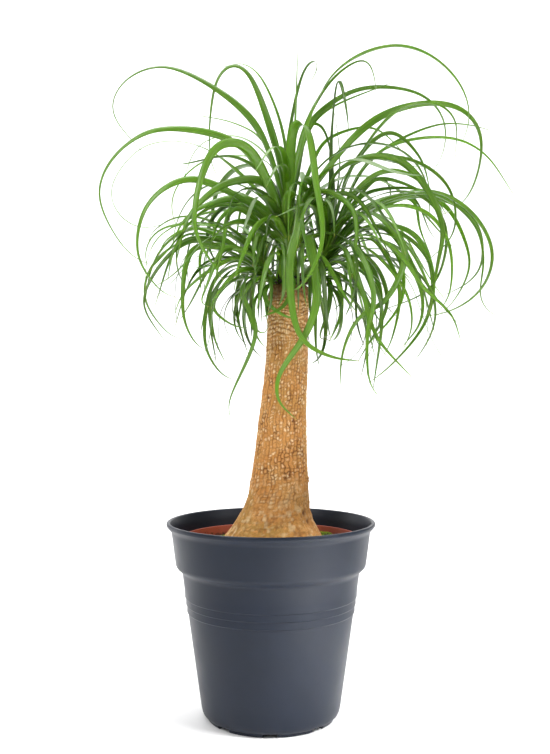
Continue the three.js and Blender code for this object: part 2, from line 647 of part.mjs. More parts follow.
// A hanging blade is bent clear of the stem.
function clearOfStem(spot) {
  if (spot.z > TRUNK.top + 8) return spot;
  const away = vector(spot.x - TRUNK.topCentre, spot.y, 0);
  if (away.length() < CROWN.trunkRoom) {
    away.setLength(CROWN.trunkRoom);
    spot.set(TRUNK.topCentre + away.x, away.y, spot.z);
  }
  return spot;
}

// How the blades of each shoot are set out by rule, first value the youngest blade, second
// the oldest. Angles are in degrees above the horizon; a shoot's lean lowers the blades on
// the side that it leans to.
const HABITS = {
  main: { count: 24, seed: 204, spread: 180, leanTo: 90, lean: 0, launch: [78, 15],
    length: [300, 190], fall: [120, 165], width: [11, 9] },
  left: { count: 18, seed: 52, spread: 120, leanTo: 178, lean: 15, launch: [75, 5],
    length: [215, 165], fall: [120, 160], width: [8, 6.5] },
  right: { count: 24, seed: 166, spread: 125, leanTo: 12, lean: 15, launch: [75, 0],
    length: [280, 190], fall: [110, 160], width: [9.5, 7.5] },
};

const GOLDEN_TURN = 0.618;

// Blades by rule: each a golden turn on from the one above, arching over under its weight
// while it sways sideways, and flicked up or curled under at its tip.
function ruledBlades(shoot, habit) {
  const draw = dice(habit.seed);
  const bodies = [];
  for (let i = 0; i < habit.count; i++) {
    const age = i / (habit.count - 1);
    const turn = habit.spread * (2 * ((GOLDEN_TURN * i) % 1) - 1) + draw(-8, 8);
    const azimuth = radians(habit.leanTo + turn);
    const toward = Math.cos(radians(turn));
    const launch = mix(...habit.launch, age) - habit.lean * toward + draw(-8, 8);
    const frontward = Math.max(0, -Math.sin(azimuth));
    const length = mix(...habit.length, age) * draw(0.75, 1.2) * (1 - 0.35 * frontward ** 3);
    const landing = launch - draw(...habit.fall);
    const flick = draw(-50, 90);
    const sway = radians(draw(-50, 50));
    const width = mix(...habit.width, age) * draw(0.75, 1.2);
    const rollStart = draw(-15, 35);
    const rollEnd = draw(-30, 60);
    const spot = bladeRoot(shoot, heading(azimuth, radians(launch)));
    const route = [spot.clone()];
    for (let k = 0; k < CROWN.archSteps; k++) {
      const t = (k + 0.5) / CROWN.archSteps;
      const pitch = radians(mix(launch, landing, bend(t)) + flick * bend(2.2 * t - 1.2));
      const step = heading(azimuth + sway * t * t, pitch);
      spot.addScaledVector(step, length / CROWN.archSteps);
      route.push(clearOfStem(spot).clone());
    }
    bodies.push(blade(route, width, rollStart, rollEnd));
  }
  return bodies;
}

// The blades whose routes are listed, each from its own root on the shoot.
function chosenBlades(shoot, leaves) {
  return leaves.map(([width, rollStart, rollEnd, spots]) => {
    const route = spots.map((spot) => vector(...spot));
    const start = route[0].clone().sub(shootLine(shoot).getPoint(0.5)).normalize();
    return blade([bladeRoot(shoot, start), ...route], width, rollStart, rollEnd);
  });
}

// Dry bases of shed leaves, bristling round the foot of the shoots.
function stubs() {
  const draw = dice(5);
  const [x, y] = SHOOTS.main.spine[0];
  return around(STUBS.count, (angle) => {
    const outward = heading(angle, radians(draw(...STUBS.pitch)));
    const reach = draw(...STUBS.reach);
    const foot = vector(x, y, TRUNK.top + STUBS.rise);
    foot.addScaledVector(heading(angle, 0), STUBS.circle);
    const route = [0, 0.5, 1].map((t) => foot.clone().addScaledVector(outward, t * reach));
    return blade(route, draw(...STUBS.width), 0, 0);
  });
}

function leafCrown() {
  const leaves = { main: MAIN_LEAVES, left: LEFT_LEAVES, right: RIGHT_LEAVES };
  const bodies = Object.entries(SHOOTS).flatMap(([name, shoot]) => [
    shootCore(shoot), ...chosenBlades(shoot, leaves[name]), ...ruledBlades(shoot, HABITS[name])]);
  return mainBody(wasm.Manifold.union([...stubs(), ...bodies]));
}

// ---------------------------------------------------------------- the plant in its pots

const finish = (color, roughness) => new THREE.MeshStandardMaterial({ color, roughness, metalness: 0 });

const greyPlastic = finish(0x3d4450, 0.5);
const terracottaPlastic = finish(0xa85238, 0.55);
const pottingSoil = finish(0x3a2a1e, 0.95);
const greenMoss = finish(0x6c8a22, 0.95);
const corkyBark = finish(0xb98346, 0.85);
const leafGreen = finish(0x3f7f2d, 0.45);

const ground = soil();
const group = new THREE.Group();
group.add(mesh('outer_pot', outerPot(), greyPlastic));
group.add(mesh('inner_pot', innerPot(), terracottaPlastic));
group.add(mesh('soil', ground, pottingSoil));
group.add(mesh('moss_right', moss(ground, {
  angle: radians(42), radius: 87, length: 22, breadth: 8, height: 8,
}), greenMoss));
group.add(mesh('moss_left', moss(ground, {
  angle: radians(130), radius: 88, length: 12, breadth: 6, height: 4,
}), greenMoss));
group.add(mesh('trunk', stem(0), corkyBark));
group.add(mesh('leaf_crown', leafCrown(), leafGreen));

export default group;
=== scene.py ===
"""A ponytail palm in its growing pot inside a larger plant pot: the looks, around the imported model.

Every piece stands for a node of the model and keeps its place and form. Shapes are numpy surfaces
worked out in millimetres and handed to Blender in metres. The front of the plant is -Y.
"""
import math
from collections import namedtuple

import bpy
import numpy as np
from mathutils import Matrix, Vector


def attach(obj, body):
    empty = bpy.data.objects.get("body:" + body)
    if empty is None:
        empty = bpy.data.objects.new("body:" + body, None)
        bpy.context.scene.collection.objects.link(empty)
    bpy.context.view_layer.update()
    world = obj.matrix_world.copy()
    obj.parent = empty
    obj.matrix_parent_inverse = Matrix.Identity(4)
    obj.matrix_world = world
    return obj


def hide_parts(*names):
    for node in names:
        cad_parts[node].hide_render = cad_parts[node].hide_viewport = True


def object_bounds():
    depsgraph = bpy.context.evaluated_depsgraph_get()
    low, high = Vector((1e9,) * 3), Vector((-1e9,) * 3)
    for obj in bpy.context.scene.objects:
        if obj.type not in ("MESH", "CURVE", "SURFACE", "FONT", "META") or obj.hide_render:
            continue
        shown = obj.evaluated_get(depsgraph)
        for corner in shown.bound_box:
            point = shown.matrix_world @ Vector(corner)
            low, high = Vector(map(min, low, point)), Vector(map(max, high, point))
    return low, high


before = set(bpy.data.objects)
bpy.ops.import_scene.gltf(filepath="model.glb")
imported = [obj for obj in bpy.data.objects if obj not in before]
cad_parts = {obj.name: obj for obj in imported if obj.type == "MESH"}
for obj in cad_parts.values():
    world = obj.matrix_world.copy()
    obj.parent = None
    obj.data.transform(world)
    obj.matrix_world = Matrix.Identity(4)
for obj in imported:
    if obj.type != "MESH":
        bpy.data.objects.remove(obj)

CAD_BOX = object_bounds()
MM = 0.001

# ---------------------------------------------------------------- sizes, in millimetres

POT_HEIGHT = 224.0
POT_RIM = 120.0             # radius of the rolled lip
POT_FOOT = 73.0             # radius of the foot ring
POT_FOOT_HEIGHT = 5.0
POT_BASE = 78.5             # body radius just above the foot ring
POT_SHOULDER = 102.0        # body radius under the shoulder
POT_SHOULDER_HEIGHT = 166.0
POT_BAND = 109.8            # radius at the bottom of the upper band
POT_BAND_HEIGHT = 176.0
POT_BAND_TOP_RADIUS = 114.6
POT_BAND_TOP = 214.0
POT_WALL = 2.2
POT_STEPS = (121.9, 130.4, 138.9)   # heights of the three fine steps round the body
POT_STEP = ((-0.35, -0.8), (0.9, 0.3))  # a step's two corners: out from the body, up from its height
DRAIN_HOLES = (6, 4.5, 46.0)        # how many, their radius, their distance from the axis
FOOT_NOTCHES = (8, 16.0, 3.4)       # how many, their width and height

GROWER_BOTTOM = POT_FOOT_HEIGHT + POT_WALL + 0.3
GROWER_RIM_HEIGHT = 206.0
GROWER_RIM = 105.0
GROWER_BAND = 12.0
GROWER_BASE = 74.0
GROWER_NECK = 101.5
GROWER_WALL = 1.8
GROWER_HOLES = (6, 5.0, 52.0)

SOIL_TOP = 193.0
STEM_TOP = 496.5
STEM_TOP_CENTRE = 21.0
SHOOT_FOOT = STEM_TOP + 0.3

# ---------------------------------------------------------------- small helpers


def mix(a, b, t):
    return a + (b - a) * t


def smooth(t):
    """0 below 0, 1 above 1, and 3t^2 - 2t^3 between."""
    t = np.clip(t, 0.0, 1.0)
    return t * t * (3.0 - 2.0 * t)


def dice(seed):
    """Repeatable random draws between two limits, by the same rule as the model's own source."""
    state = seed

    def draw(low, high):
        nonlocal state
        state = (state * 1664525 + 1013904223) % 4294967296
        return mix(low, high, state / 4294967296)

    return draw


def hills(u, v, cells_u, cells_v, seed):
    """Smooth random hills from -1 to 1: random heights at the corners of a net of cells_u by
    cells_v, blended across each cell by 3t^2 - 2t^3. u and v run from 0 to 1, and u wraps round."""
    corners = np.random.default_rng(seed).uniform(-1.0, 1.0, (cells_u, cells_v + 2))
    u = (u % 1.0) * cells_u
    v = np.clip(v, 0.0, 1.0) * cells_v
    i, j = u.astype(int), v.astype(int)
    s, t = smooth(u - i), smooth(v - j)
    k = (i + 1) % cells_u
    i = i % cells_u
    low = mix(corners[i, j], corners[k, j], s)
    high = mix(corners[i, j + 1], corners[k, j + 1], s)
    return mix(low, high, t)


def catmull_rom(spots, where):
    """Centripetal Catmull-Rom curve through the spots, at each place from 0 to 1: on every span a
    cubic whose end slopes come from the neighbours, spaced by the square root of the distances."""
    spots = np.asarray(spots, float)
    padded = np.vstack([2 * spots[0] - spots[1], spots, 2 * spots[-1] - spots[-2]])
    place = np.clip(np.asarray(where, float), 0, 1) * (len(spots) - 1)
    span = np.minimum(place.astype(int), len(spots) - 2)
    t = (place - span)[..., None]
    p0, p1, p2, p3 = (padded[span + k] for k in range(4))
    gap = [np.sqrt(np.linalg.norm(b - a, axis=-1, keepdims=True))
           for a, b in ((p0, p1), (p1, p2), (p2, p3))]
    slope1 = ((p1 - p0) / gap[0] - (p2 - p0) / (gap[0] + gap[1]) + (p2 - p1) / gap[1]) * gap[1]
    slope2 = ((p2 - p1) / gap[1] - (p3 - p1) / (gap[1] + gap[2]) + (p3 - p2) / gap[2]) * gap[1]
    bend = 3 * (p2 - p1) - 2 * slope1 - slope2
    twist = 2 * (p1 - p2) + slope1 + slope2
    return p1 + slope1 * t + bend * t ** 2 + twist * t ** 3


def evenly(line, count):
    """count points at equal steps of length along a finely sampled line."""
    steps = np.linalg.norm(np.diff(line, axis=0), axis=1)
    along = np.concatenate([[0.0], np.cumsum(steps)])
    wanted = np.linspace(0.0, along[-1], count)
    return np.stack([np.interp(wanted, along, line[:, k]) for k in range(3)], axis=1)


def surface(name, points, finish, ringed=False, values=None, uv=None):
    """One mesh from a stack of closed tubes, points[tube, ring, place round the ring, xyz] in mm.
    Neighbouring rings are joined by quads that wrap round. Each end ring is closed by one face, or
    where the tube is ringed, the last ring is joined to the first.
    values are numbers or colours for each point by attribute name, uv a map for each point."""
    if points.ndim == 3:
        points = points[None]
    tubes, rings, sides, _ = points.shape
    number = np.arange(tubes * rings * sides).reshape(tubes, rings, sides)
    belt = np.concatenate([number, number[:, :1]], axis=1) if ringed else number
    following = np.roll(belt, -1, axis=2)
    quads = np.stack([belt[:, :-1], following[:, :-1], following[:, 1:], belt[:, 1:]], axis=-1)
    corners = [quads.reshape(-1)]
    sizes = [np.full(quads.size // 4, 4)]
    if not ringed:
        ends = np.concatenate([number[:, 0, ::-1], number[:, -1]])
        corners.append(ends.reshape(-1))
        sizes.append(np.full(len(ends), sides))
    corners, sizes = np.concatenate(corners), np.concatenate(sizes)
    mesh = bpy.data.meshes.new(name)
    mesh.vertices.add(number.size)
    mesh.vertices.foreach_set("co", (points.reshape(-1) * MM).astype(np.float32))
    mesh.loops.add(len(corners))
    mesh.loops.foreach_set("vertex_index", corners.astype(np.int32))
    mesh.polygons.add(len(sizes))
    mesh.polygons.foreach_set("loop_start", (np.cumsum(sizes) - sizes).astype(np.int32))
    mesh.polygons.foreach_set("loop_total", sizes.astype(np.int32))
    mesh.polygons.foreach_set("use_smooth", np.ones(len(sizes), bool))
    for key, value in (values or {}).items():
        kind, slot = ("FLOAT", "value") if value.size == number.size else ("FLOAT_COLOR", "color")
        mesh.attributes.new(key, kind, "POINT").data.foreach_set(
            slot, value.reshape(-1).astype(np.float32))
    if uv is not None:
        flat = uv.reshape(-1, 2)[corners]
        mesh.uv_layers.new(name="UVMap").data.foreach_set("uv", flat.reshape(-1).astype(np.float32))
    mesh.update(calc_edges=True)
    mesh.materials.append(finish)
    piece = bpy.data.objects.new(name, mesh)
    bpy.context.scene.collection.objects.link(piece)
    return piece


def rounded(outline, cuts, points=5):
    """An outline of (radius, height) corners with each corner cut back by its own amount and
    replaced by a parabola between the two cuts."""
    outline = np.asarray(outline, float)
    cuts = np.broadcast_to(np.asarray(cuts, float), len(outline) - 2)
    before, corner, after = outline[:-2], outline[1:-1], outline[2:]
    reach_in = np.linalg.norm(before - corner, axis=1)
    reach_out = np.linalg.norm(after - corner, axis=1)
    cut_in = np.minimum(cuts, 0.45 * reach_in) / reach_in
    cut_out = np.minimum(cuts, 0.45 * reach_out) / reach_out
    start = mix(corner, before, cut_in[:, None])[:, None]
    end = mix(corner, after, cut_out[:, None])[:, None]
    t = np.linspace(0, 1, points)[None, :, None]
    bends = (1 - t) ** 2 * start + 2 * t * (1 - t) * corner[:, None] + t ** 2 * end
    return np.vstack([outline[:1], bends.reshape(-1, 2), outline[-1:]])


def turned(outline, angles):
    """An outline of (radius, height) carried round the Z axis: rings of one height each."""
    radius, height = outline[:, 0, None], outline[:, 1, None]
    return np.stack([radius * np.cos(angles), radius * np.sin(angles),
                     np.broadcast_to(height, (len(outline), len(angles)))], axis=-1)


def full_turn(count):
    return np.linspace(0.0, 2 * math.pi, count, endpoint=False)


def drilled(piece, holes, low, high):
    """Cuts a ring of upright round holes through a piece, and applies the cut."""
    count, radius, distance = holes
    outline = np.array([[radius, low], [radius, high]])
    drills = np.stack([turned(outline, full_turn(32)) + distance * np.array(
        [math.cos(angle), math.sin(angle), 0.0]) for angle in full_turn(count)])
    cutter = surface("drill", drills, piece.data.materials[0])
    cut = piece.modifiers.new("holes", "BOOLEAN")
    cut.operation, cut.object, cut.solver = "DIFFERENCE", cutter, "EXACT"
    depsgraph = bpy.context.evaluated_depsgraph_get()
    mesh = bpy.data.meshes.new_from_object(piece.evaluated_get(depsgraph))
    piece.modifiers.clear()
    piece.data = mesh
    bpy.data.objects.remove(cutter)
    return piece

# ---------------------------------------------------------------- finishes

# A Mix node of colours has its share in socket 0, its two colours in 6 and 7, its result in 2.
SHARE, FIRST, SECOND, MIXED = 0, 6, 7, 2


def linear(code, alpha=1.0):
    """An sRGB hex colour as the linear values that a shader takes."""
    parts = np.array([int(code[k:k + 2], 16) / 255 for k in (1, 3, 5)])
    parts = np.where(parts <= 0.04045, parts / 12.92, ((parts + 0.055) / 1.055) ** 2.4)
    return (*parts.tolist(), alpha)


def feed(tree, node, inputs):
    """Gives sockets of a node, by name or number, their values or another node's output."""
    for key, value in inputs.items():
        if isinstance(value, bpy.types.NodeSocket):
            tree.links.new(value, node.inputs[key])
        else:
            node.inputs[key].default_value = value


def add(tree, kind, inputs, stops=(), **settings):
    """Adds one node with its own settings and what feeds its sockets. stops are the places and
    colours of a ramp."""
    node = tree.nodes.new("ShaderNode" + kind)
    for key, value in settings.items():
        setattr(node, key, value)
    feed(tree, node, inputs)
    for number, (place, colour) in enumerate(stops):
        elements = node.color_ramp.elements
        element = elements[number] if number < 2 else elements.new(place)
        element.position, element.color = place, linear(colour)
    return node


def finish(name):
    """A new material, its tree, its Principled shader and the object's own coordinates."""
    material = bpy.data.materials.new(name)
    material.use_nodes = True
    tree = material.node_tree
    where = add(tree, "TexCoord", {}).outputs["Object"]
    return material, tree, tree.nodes["Principled BSDF"], where


def grain(mm):
    """Noise scale, per metre of object space, for features about this many mm across."""
    return 1.0 / (mm * MM)


def satin_grey_polypropylene():
    """Injection-moulded polypropylene, blue-grey: an even satin skin with a very fine orange peel,
    and a little dust that dulls it in broad patches."""
    material, tree, shader, where = finish("satin grey polypropylene")
    dust = add(tree, "TexNoise", {"Vector": where, "Scale": grain(35), "Detail": 4.0})
    colour = add(tree, "ValToRGB", {"Fac": dust.outputs["Fac"]},
                 stops=((0.3, "#131b29"), (0.7, "#171f2e")))
    dull = add(tree, "MapRange", {"Value": dust.outputs["Fac"], "From Min": 0.3, "From Max": 0.7,
                                  "To Min": 0.34, "To Max": 0.44})
    peel = add(tree, "TexNoise", {"Vector": where, "Scale": grain(1.2), "Detail": 2.0})
    bump = add(tree, "Bump", {"Height": peel.outputs["Fac"], "Distance": 0.03 * MM,
                              "Strength": 0.6})
    feed(tree, shader, {"Base Color": colour.outputs["Color"], "IOR": 1.36,
                        "Roughness": dull.outputs["Result"], "Normal": bump.outputs["Normal"]})
    return material


def terracotta_polypropylene():
    """Thin moulded polypropylene in terracotta: satin, a little faded, with dried soil splashed
    on the inside above the soil."""
    material, tree, shader, where = finish("terracotta polypropylene")
    fade = add(tree, "TexNoise", {"Vector": where, "Scale": grain(30), "Detail": 3.0})
    plain = add(tree, "ValToRGB", {"Fac": fade.outputs["Fac"]},
                stops=((0.35, "#a04a34"), (0.65, "#b5593f")))
    splash = add(tree, "TexNoise", {"Vector": where, "Scale": grain(6), "Detail": 5.0,
                                    "Roughness": 0.65})
    height = add(tree, "SeparateXYZ", {"Vector": where})
    low = add(tree, "MapRange", {"Value": height.outputs["Z"], "From Min": GROWER_RIM_HEIGHT * MM,
                                 "From Max": (SOIL_TOP - 3) * MM, "To Min": 0.1})
    wet = add(tree, "Math", {0: splash.outputs["Fac"], 1: low.outputs["Result"]},
              operation="MULTIPLY")
    dirt = add(tree, "MapRange", {"Value": wet.outputs["Value"], "From Min": 0.26,
                                  "From Max": 0.38})
    colour = add(tree, "Mix", {SHARE: dirt.outputs["Result"], FIRST: plain.outputs["Color"],
                               SECOND: linear("#4a2d1f")}, data_type="RGBA")
    bump = add(tree, "Bump", {"Height": splash.outputs["Fac"], "Distance": 0.15 * MM,
                              "Strength": 0.4})
    feed(tree, shader, {"Base Color": colour.outputs[MIXED], "Roughness": 0.5, "IOR": 1.49,
                        "Normal": bump.outputs["Normal"]})
    return material


def potting_soil():
    """Peat-based potting soil, dry on top: dark brown and matt, with paler crumbs."""
    material, tree, shader, where = finish("dry peat potting soil")
    coarse = add(tree, "TexNoise", {"Vector": where, "Scale": grain(5), "Detail": 6.0})
    fine = add(tree, "TexNoise", {"Vector": where, "Scale": grain(0.9), "Detail": 4.0})
    both = add(tree, "Math", {0: coarse.outputs["Fac"], 1: fine.outputs["Fac"]},
               operation="MULTIPLY")
    colour = add(tree, "ValToRGB", {"Fac": both.outputs["Value"]},
                 stops=((0.15, "#1d130d"), (0.4, "#7d6247"), (0.27, "#3c2a1d")))
    bump = add(tree, "Bump", {"Height": both.outputs["Value"], "Distance": 1.5 * MM})
    feed(tree, shader, {"Base Color": colour.outputs["Color"], "Roughness": 0.95,
                        "Normal": bump.outputs["Normal"]})
    return material


def bark_crumbs():
    """Chips of composted bark and peat lumps lying loose on the soil: browns from dark to tan,
    each crumb its own shade."""
    material, tree, shader, _ = finish("composted bark crumbs")
    shade = add(tree, "Attribute", {}, attribute_name="shade")
    colour = add(tree, "ValToRGB", {"Fac": shade.outputs["Fac"]},
                 stops=((0.0, "#1d130c"), (1.0, "#a58a68"), (0.55, "#3e2a1b"), (0.85, "#6b4c31")))
    feed(tree, shader, {"Base Color": colour.outputs["Color"], "Roughness": 0.9})
    return material


def cushion_moss():
    """Live cushion moss: fresh yellow-green tips over dark older growth, soft and matt."""
    material, tree, shader, _ = finish("live cushion moss")
    tip = add(tree, "Attribute", {}, attribute_name="tip")
    colour = add(tree, "ValToRGB", {"Fac": tip.outputs["Fac"]},
                 stops=((0.0, "#2b2f10"), (1.0, "#a8c42c"), (0.45, "#5d7218")))
    feed(tree, shader, {"Base Color": colour.outputs["Color"], "Roughness": 0.85})
    return material


def corky_bark():
    """Ponytail palm bark: dry cork in upright plates, ochre with red-brown cracks and a cream painted
    highlight on the crowns of the plates, smoother and mottled on the swollen base, brown and frayed at
    the top. The point colours hold crack depth and the painted shade of the knot holes in red, the
    painted highlight of the plate crowns and pale specks of the base in green, age stain in blue and
    the brown top in alpha."""
    material, tree, shader, where = finish("dry corky bark")
    marks = add(tree, "Attribute", {}, attribute_name="marks")
    part = add(tree, "SeparateColor", {"Color": marks.outputs["Color"]}).outputs
    broad = add(tree, "TexNoise", {"Vector": where, "Scale": grain(22), "Detail": 3.0})
    ochre = add(tree, "ValToRGB", {"Fac": broad.outputs["Fac"]},
                stops=((0.35, "#d6944a"), (0.65, "#e6b068")))
    fine = add(tree, "TexNoise", {"Vector": where, "Scale": grain(1.6), "Detail": 5.0,
                                  "Roughness": 0.7})
    speck = add(tree, "MapRange", {"Value": fine.outputs["Fac"], "From Min": 0.35,
                                   "From Max": 0.65})
    colour = add(tree, "Mix", {SHARE: speck.outputs["Result"], FIRST: linear("#c28542"),
                               SECOND: ochre.outputs["Color"]}, data_type="RGBA")
    # cream #f2d8a6 on the green channel is a painted highlight on the plate crowns
    # red-brown #6b3d18 on the red channel also carries the painted shade of the knot holes
    for share, shade in ((part["Blue"], "#9a7a30"), (part["Green"], "#f2d8a6"),
                         (part["Red"], "#6b3d18"), (marks.outputs["Alpha"], "#4a2c18")):
        colour = add(tree, "Mix", {SHARE: share, FIRST: colour.outputs[MIXED],
                                   SECOND: linear(shade)}, data_type="RGBA")
    bump = add(tree, "Bump", {"Height": fine.outputs["Fac"], "Distance": 0.5 * MM,
                              "Strength": 0.7})
    feed(tree, shader, {"Base Color": colour.outputs[MIXED], "Roughness": 0.85,
                        "Normal": bump.outputs["Normal"]})
    return material


def strap_leaf():
    """A waxy strap leaf: fine raised veins along it, yellow-green while it is young and deep green
    later, paler at the root and dry at the very tip. The map's U is mm across the blade and its V
    mm along it. The point colours hold the blade's age in red, how far along in green and a random
    shade in blue."""
    material, tree, shader, _ = finish("waxy ponytail palm leaf")
    marks = add(tree, "Attribute", {}, attribute_name="marks")
    part = add(tree, "SeparateColor", {"Color": marks.outputs["Color"]}).outputs
    across = add(tree, "UVMap", {}, uv_map="UVMap").outputs["UV"]
    drawn = add(tree, "Mapping", {"Vector": across, "Scale": (1.0, 0.02, 1.0)})
    streak = add(tree, "TexNoise", {"Vector": drawn.outputs["Vector"], "Scale": 1.1, "Detail": 3.0,
                                    "Roughness": 0.6})
    veins = add(tree, "TexWave", {"Vector": across, "Scale": 0.35, "Distortion": 0.4,
                                  "Detail": 1.0}, bands_direction="X")
    age = add(tree, "ValToRGB", {"Fac": part["Red"]},
              stops=((0.0, "#90c010"), (1.0, "#2c5008"), (0.3, "#609410"), (0.6, "#47740c")))
    streaks = add(tree, "MapRange", {"Value": streak.outputs["Fac"], "From Min": 0.4,
                                     "From Max": 0.75, "To Max": 0.35})
    colour = add(tree, "Mix", {SHARE: streaks.outputs["Result"], FIRST: age.outputs["Color"],
                               SECOND: linear("#9cb84c")}, data_type="RGBA")
    own = add(tree, "MapRange", {"Value": part["Blue"], "To Min": 0.72, "To Max": 1.2})
    dimmed = add(tree, "Mix", {SHARE: 1.0, FIRST: colour.outputs[MIXED],
                               SECOND: own.outputs["Result"]},
                 data_type="RGBA", blend_type="MULTIPLY")
    root = add(tree, "MapRange", {"Value": part["Green"], "From Min": 0.1, "From Max": 0.0})
    paled = add(tree, "Mix", {SHARE: root.outputs["Result"], FIRST: dimmed.outputs[MIXED],
                              SECOND: linear("#a9c25a")}, data_type="RGBA")
    tip = add(tree, "MapRange", {"Value": part["Green"], "From Min": 0.97, "From Max": 1.0})
    dried = add(tree, "Mix", {SHARE: tip.outputs["Result"], FIRST: paled.outputs[MIXED],
                              SECOND: linear("#b9a24a")}, data_type="RGBA")
    bump = add(tree, "Bump", {"Height": veins.outputs["Fac"], "Distance": 0.06 * MM,
                              "Strength": 0.7})
    feed(tree, shader, {"Base Color": dried.outputs[MIXED], "Roughness": 0.32, "IOR": 1.52,
                        "Subsurface Weight": 0.15, "Subsurface Radius": (0.4, 1.0, 0.15),
                        "Subsurface Scale": 0.8 * MM, "Normal": bump.outputs["Normal"]})
    return material


def dry_sheath():
    """Dead leaf bases: papery, almost black where they are old and tan where they tore off."""
    material, tree, shader, where = finish("dry dead leaf sheath")
    shade = add(tree, "Attribute", {}, attribute_name="shade")
    colour = add(tree, "ValToRGB", {"Fac": shade.outputs["Fac"]},
                 stops=((0.0, "#1a120d"), (1.0, "#8a6437"), (0.6, "#3a2618")))
    fibre = add(tree, "TexNoise", {"Vector": where, "Scale": grain(1.0), "Detail": 3.0})
    bump = add(tree, "Bump", {"Height": fibre.outputs["Fac"], "Distance": 0.4 * MM})
    feed(tree, shader, {"Base Color": colour.outputs["Color"], "Roughness": 0.8,
                        "Normal": bump.outputs["Normal"]})
    return material

# ---------------------------------------------------------------- pots


def outer_pot(plastic):
    """The plant pot: its outline of straights and eased corners turned about Z. Where a column of
    points falls in a notch of the foot, the foot ring there is squeezed up above the notch."""
    slope = (POT_SHOULDER - POT_BASE) / (POT_SHOULDER_HEIGHT - POT_FOOT_HEIGHT)

    def body(height):
        return POT_BASE + slope * (height - POT_FOOT_HEIGHT)

    steps = [(body(z) + out, z + rise) for z in POT_STEPS for out, rise in POT_STEP]
    outline = [
        (4, 0), (12, 0), (12, POT_FOOT_HEIGHT), (POT_FOOT - 5, POT_FOOT_HEIGHT), (POT_FOOT - 5, 0),
        (POT_FOOT, 0), (POT_FOOT + 1, POT_FOOT_HEIGHT - 1), (POT_BASE - 1.5, POT_FOOT_HEIGHT),
        (POT_BASE + 1, POT_FOOT_HEIGHT + 5), *steps,
        (body(POT_STEPS[-1] + 9), POT_STEPS[-1] + 9),
        (POT_SHOULDER, POT_SHOULDER_HEIGHT + 1.5), (POT_BAND - 0.6, POT_BAND_HEIGHT - 2),
        (POT_BAND_TOP_RADIUS - 0.2, POT_BAND_TOP), (POT_RIM - 1.4, POT_BAND_TOP + 4.6),
        (POT_RIM, POT_HEIGHT - 4), (POT_RIM, POT_HEIGHT), (POT_RIM - 4, POT_HEIGHT),
        (POT_BAND_TOP_RADIUS - POT_WALL + 0.6, POT_BAND_TOP),
        (POT_BAND - POT_WALL, POT_BAND_HEIGHT),
        (POT_SHOULDER - POT_WALL + 0.6, POT_SHOULDER_HEIGHT + 3),
        (POT_BASE - POT_WALL, POT_FOOT_HEIGHT + POT_WALL), (4, POT_FOOT_HEIGHT + POT_WALL),
    ]
    cuts = [0.5, 0.5, 1, 0.6, 0.6, 1.2, 2, 6] + [0.5] * (2 * len(POT_STEPS))
    cuts += [6, 2.6, 3, 2.5, 2, 1.8, 1.8, 1.8, 3, 3, 3, 2]
    profile = rounded(outline, cuts)
    count, width, height = FOOT_NOTCHES
    half = math.asin(width / 2 / POT_FOOT)
    middles = full_turn(count) - math.pi / 2
    edge = math.radians(0.15)
    edges = [middles + sign * half + side for sign in (-1, 1) for side in (-edge, edge)]
    angles = np.unique(np.round(np.concatenate([full_turn(240), *edges]) % (2 * math.pi), 6))
    points = turned(profile, angles)
    turn = (angles[:, None] - middles + math.pi) % (2 * math.pi) - math.pi
    in_notch = (np.abs(turn) < half).any(axis=1)
    foot = (profile[:, 0] > POT_FOOT - 6) & (profile[:, 1] < POT_FOOT_HEIGHT)
    squeezed = mix(height, POT_FOOT_HEIGHT, points[..., 2] / POT_FOOT_HEIGHT)
    points[..., 2] = np.where(foot[:, None] & in_notch, squeezed, points[..., 2])
    piece = surface("outer_pot_body", points, plastic)
    return drilled(piece, DRAIN_HOLES, POT_FOOT_HEIGHT - 2, POT_FOOT_HEIGHT + POT_WALL + 2)


def grower_radius(height):
    """Inner radius of the growing pot's straight wall at a height."""
    low = GROWER_BOTTOM + 2
    high = GROWER_RIM_HEIGHT - GROWER_BAND
    return mix(GROWER_BASE, GROWER_NECK, (height - low) / (high - low)) - GROWER_WALL


def inner_pot(plastic):
    """The growing pot: a thin straight wall with a thicker band under its rim, turned about Z."""
    band = GROWER_RIM_HEIGHT - GROWER_BAND
    outline = [
        (4, GROWER_BOTTOM), (GROWER_BASE - 1.5, GROWER_BOTTOM), (GROWER_BASE + 0.4, GROWER_BOTTOM + 3),
        (GROWER_NECK, band), (GROWER_RIM - 0.7, band + 0.8), (GROWER_RIM, GROWER_RIM_HEIGHT - 1),
        (GROWER_RIM - 1.2, GROWER_RIM_HEIGHT), (GROWER_RIM - 2.6, GROWER_RIM_HEIGHT),
        (grower_radius(band) + 1.2, band + 0.5), (grower_radius(GROWER_BOTTOM + 4), GROWER_BOTTOM + 4),
        (GROWER_BASE - GROWER_WALL - 2, GROWER_BOTTOM + GROWER_WALL), (4, GROWER_BOTTOM + GROWER_WALL),
    ]
    cuts = [1.5, 1.5, 0.6, 0.8, 0.5, 0.6, 0.6, 2, 2, 2]
    piece = surface("inner_pot_body", turned(rounded(outline, cuts), full_turn(160)), plastic)
    return drilled(piece, GROWER_HOLES, GROWER_BOTTOM - 2, GROWER_BOTTOM + GROWER_WALL + 2)

# ---------------------------------------------------------------- stem

# The stem's left and right edges from below the soil to its flat top: (height, left, right).
STEM_OUTLINE = (
    (142, -24, 24), (150, -48, 46), (165, -64, 61), (180, -69, 66), (193, -66, 63), (206, -55, 58),
    (218, -45.5, 52.5), (229, -38, 47), (248, -28.5, 44), (285, -21, 42), (340, -14, 40.5),
    (396, -7, 42), (451, -4, 43), (488, -2, 44), (493.5, -0.5, 43), (STEM_TOP, 3, 39),
)
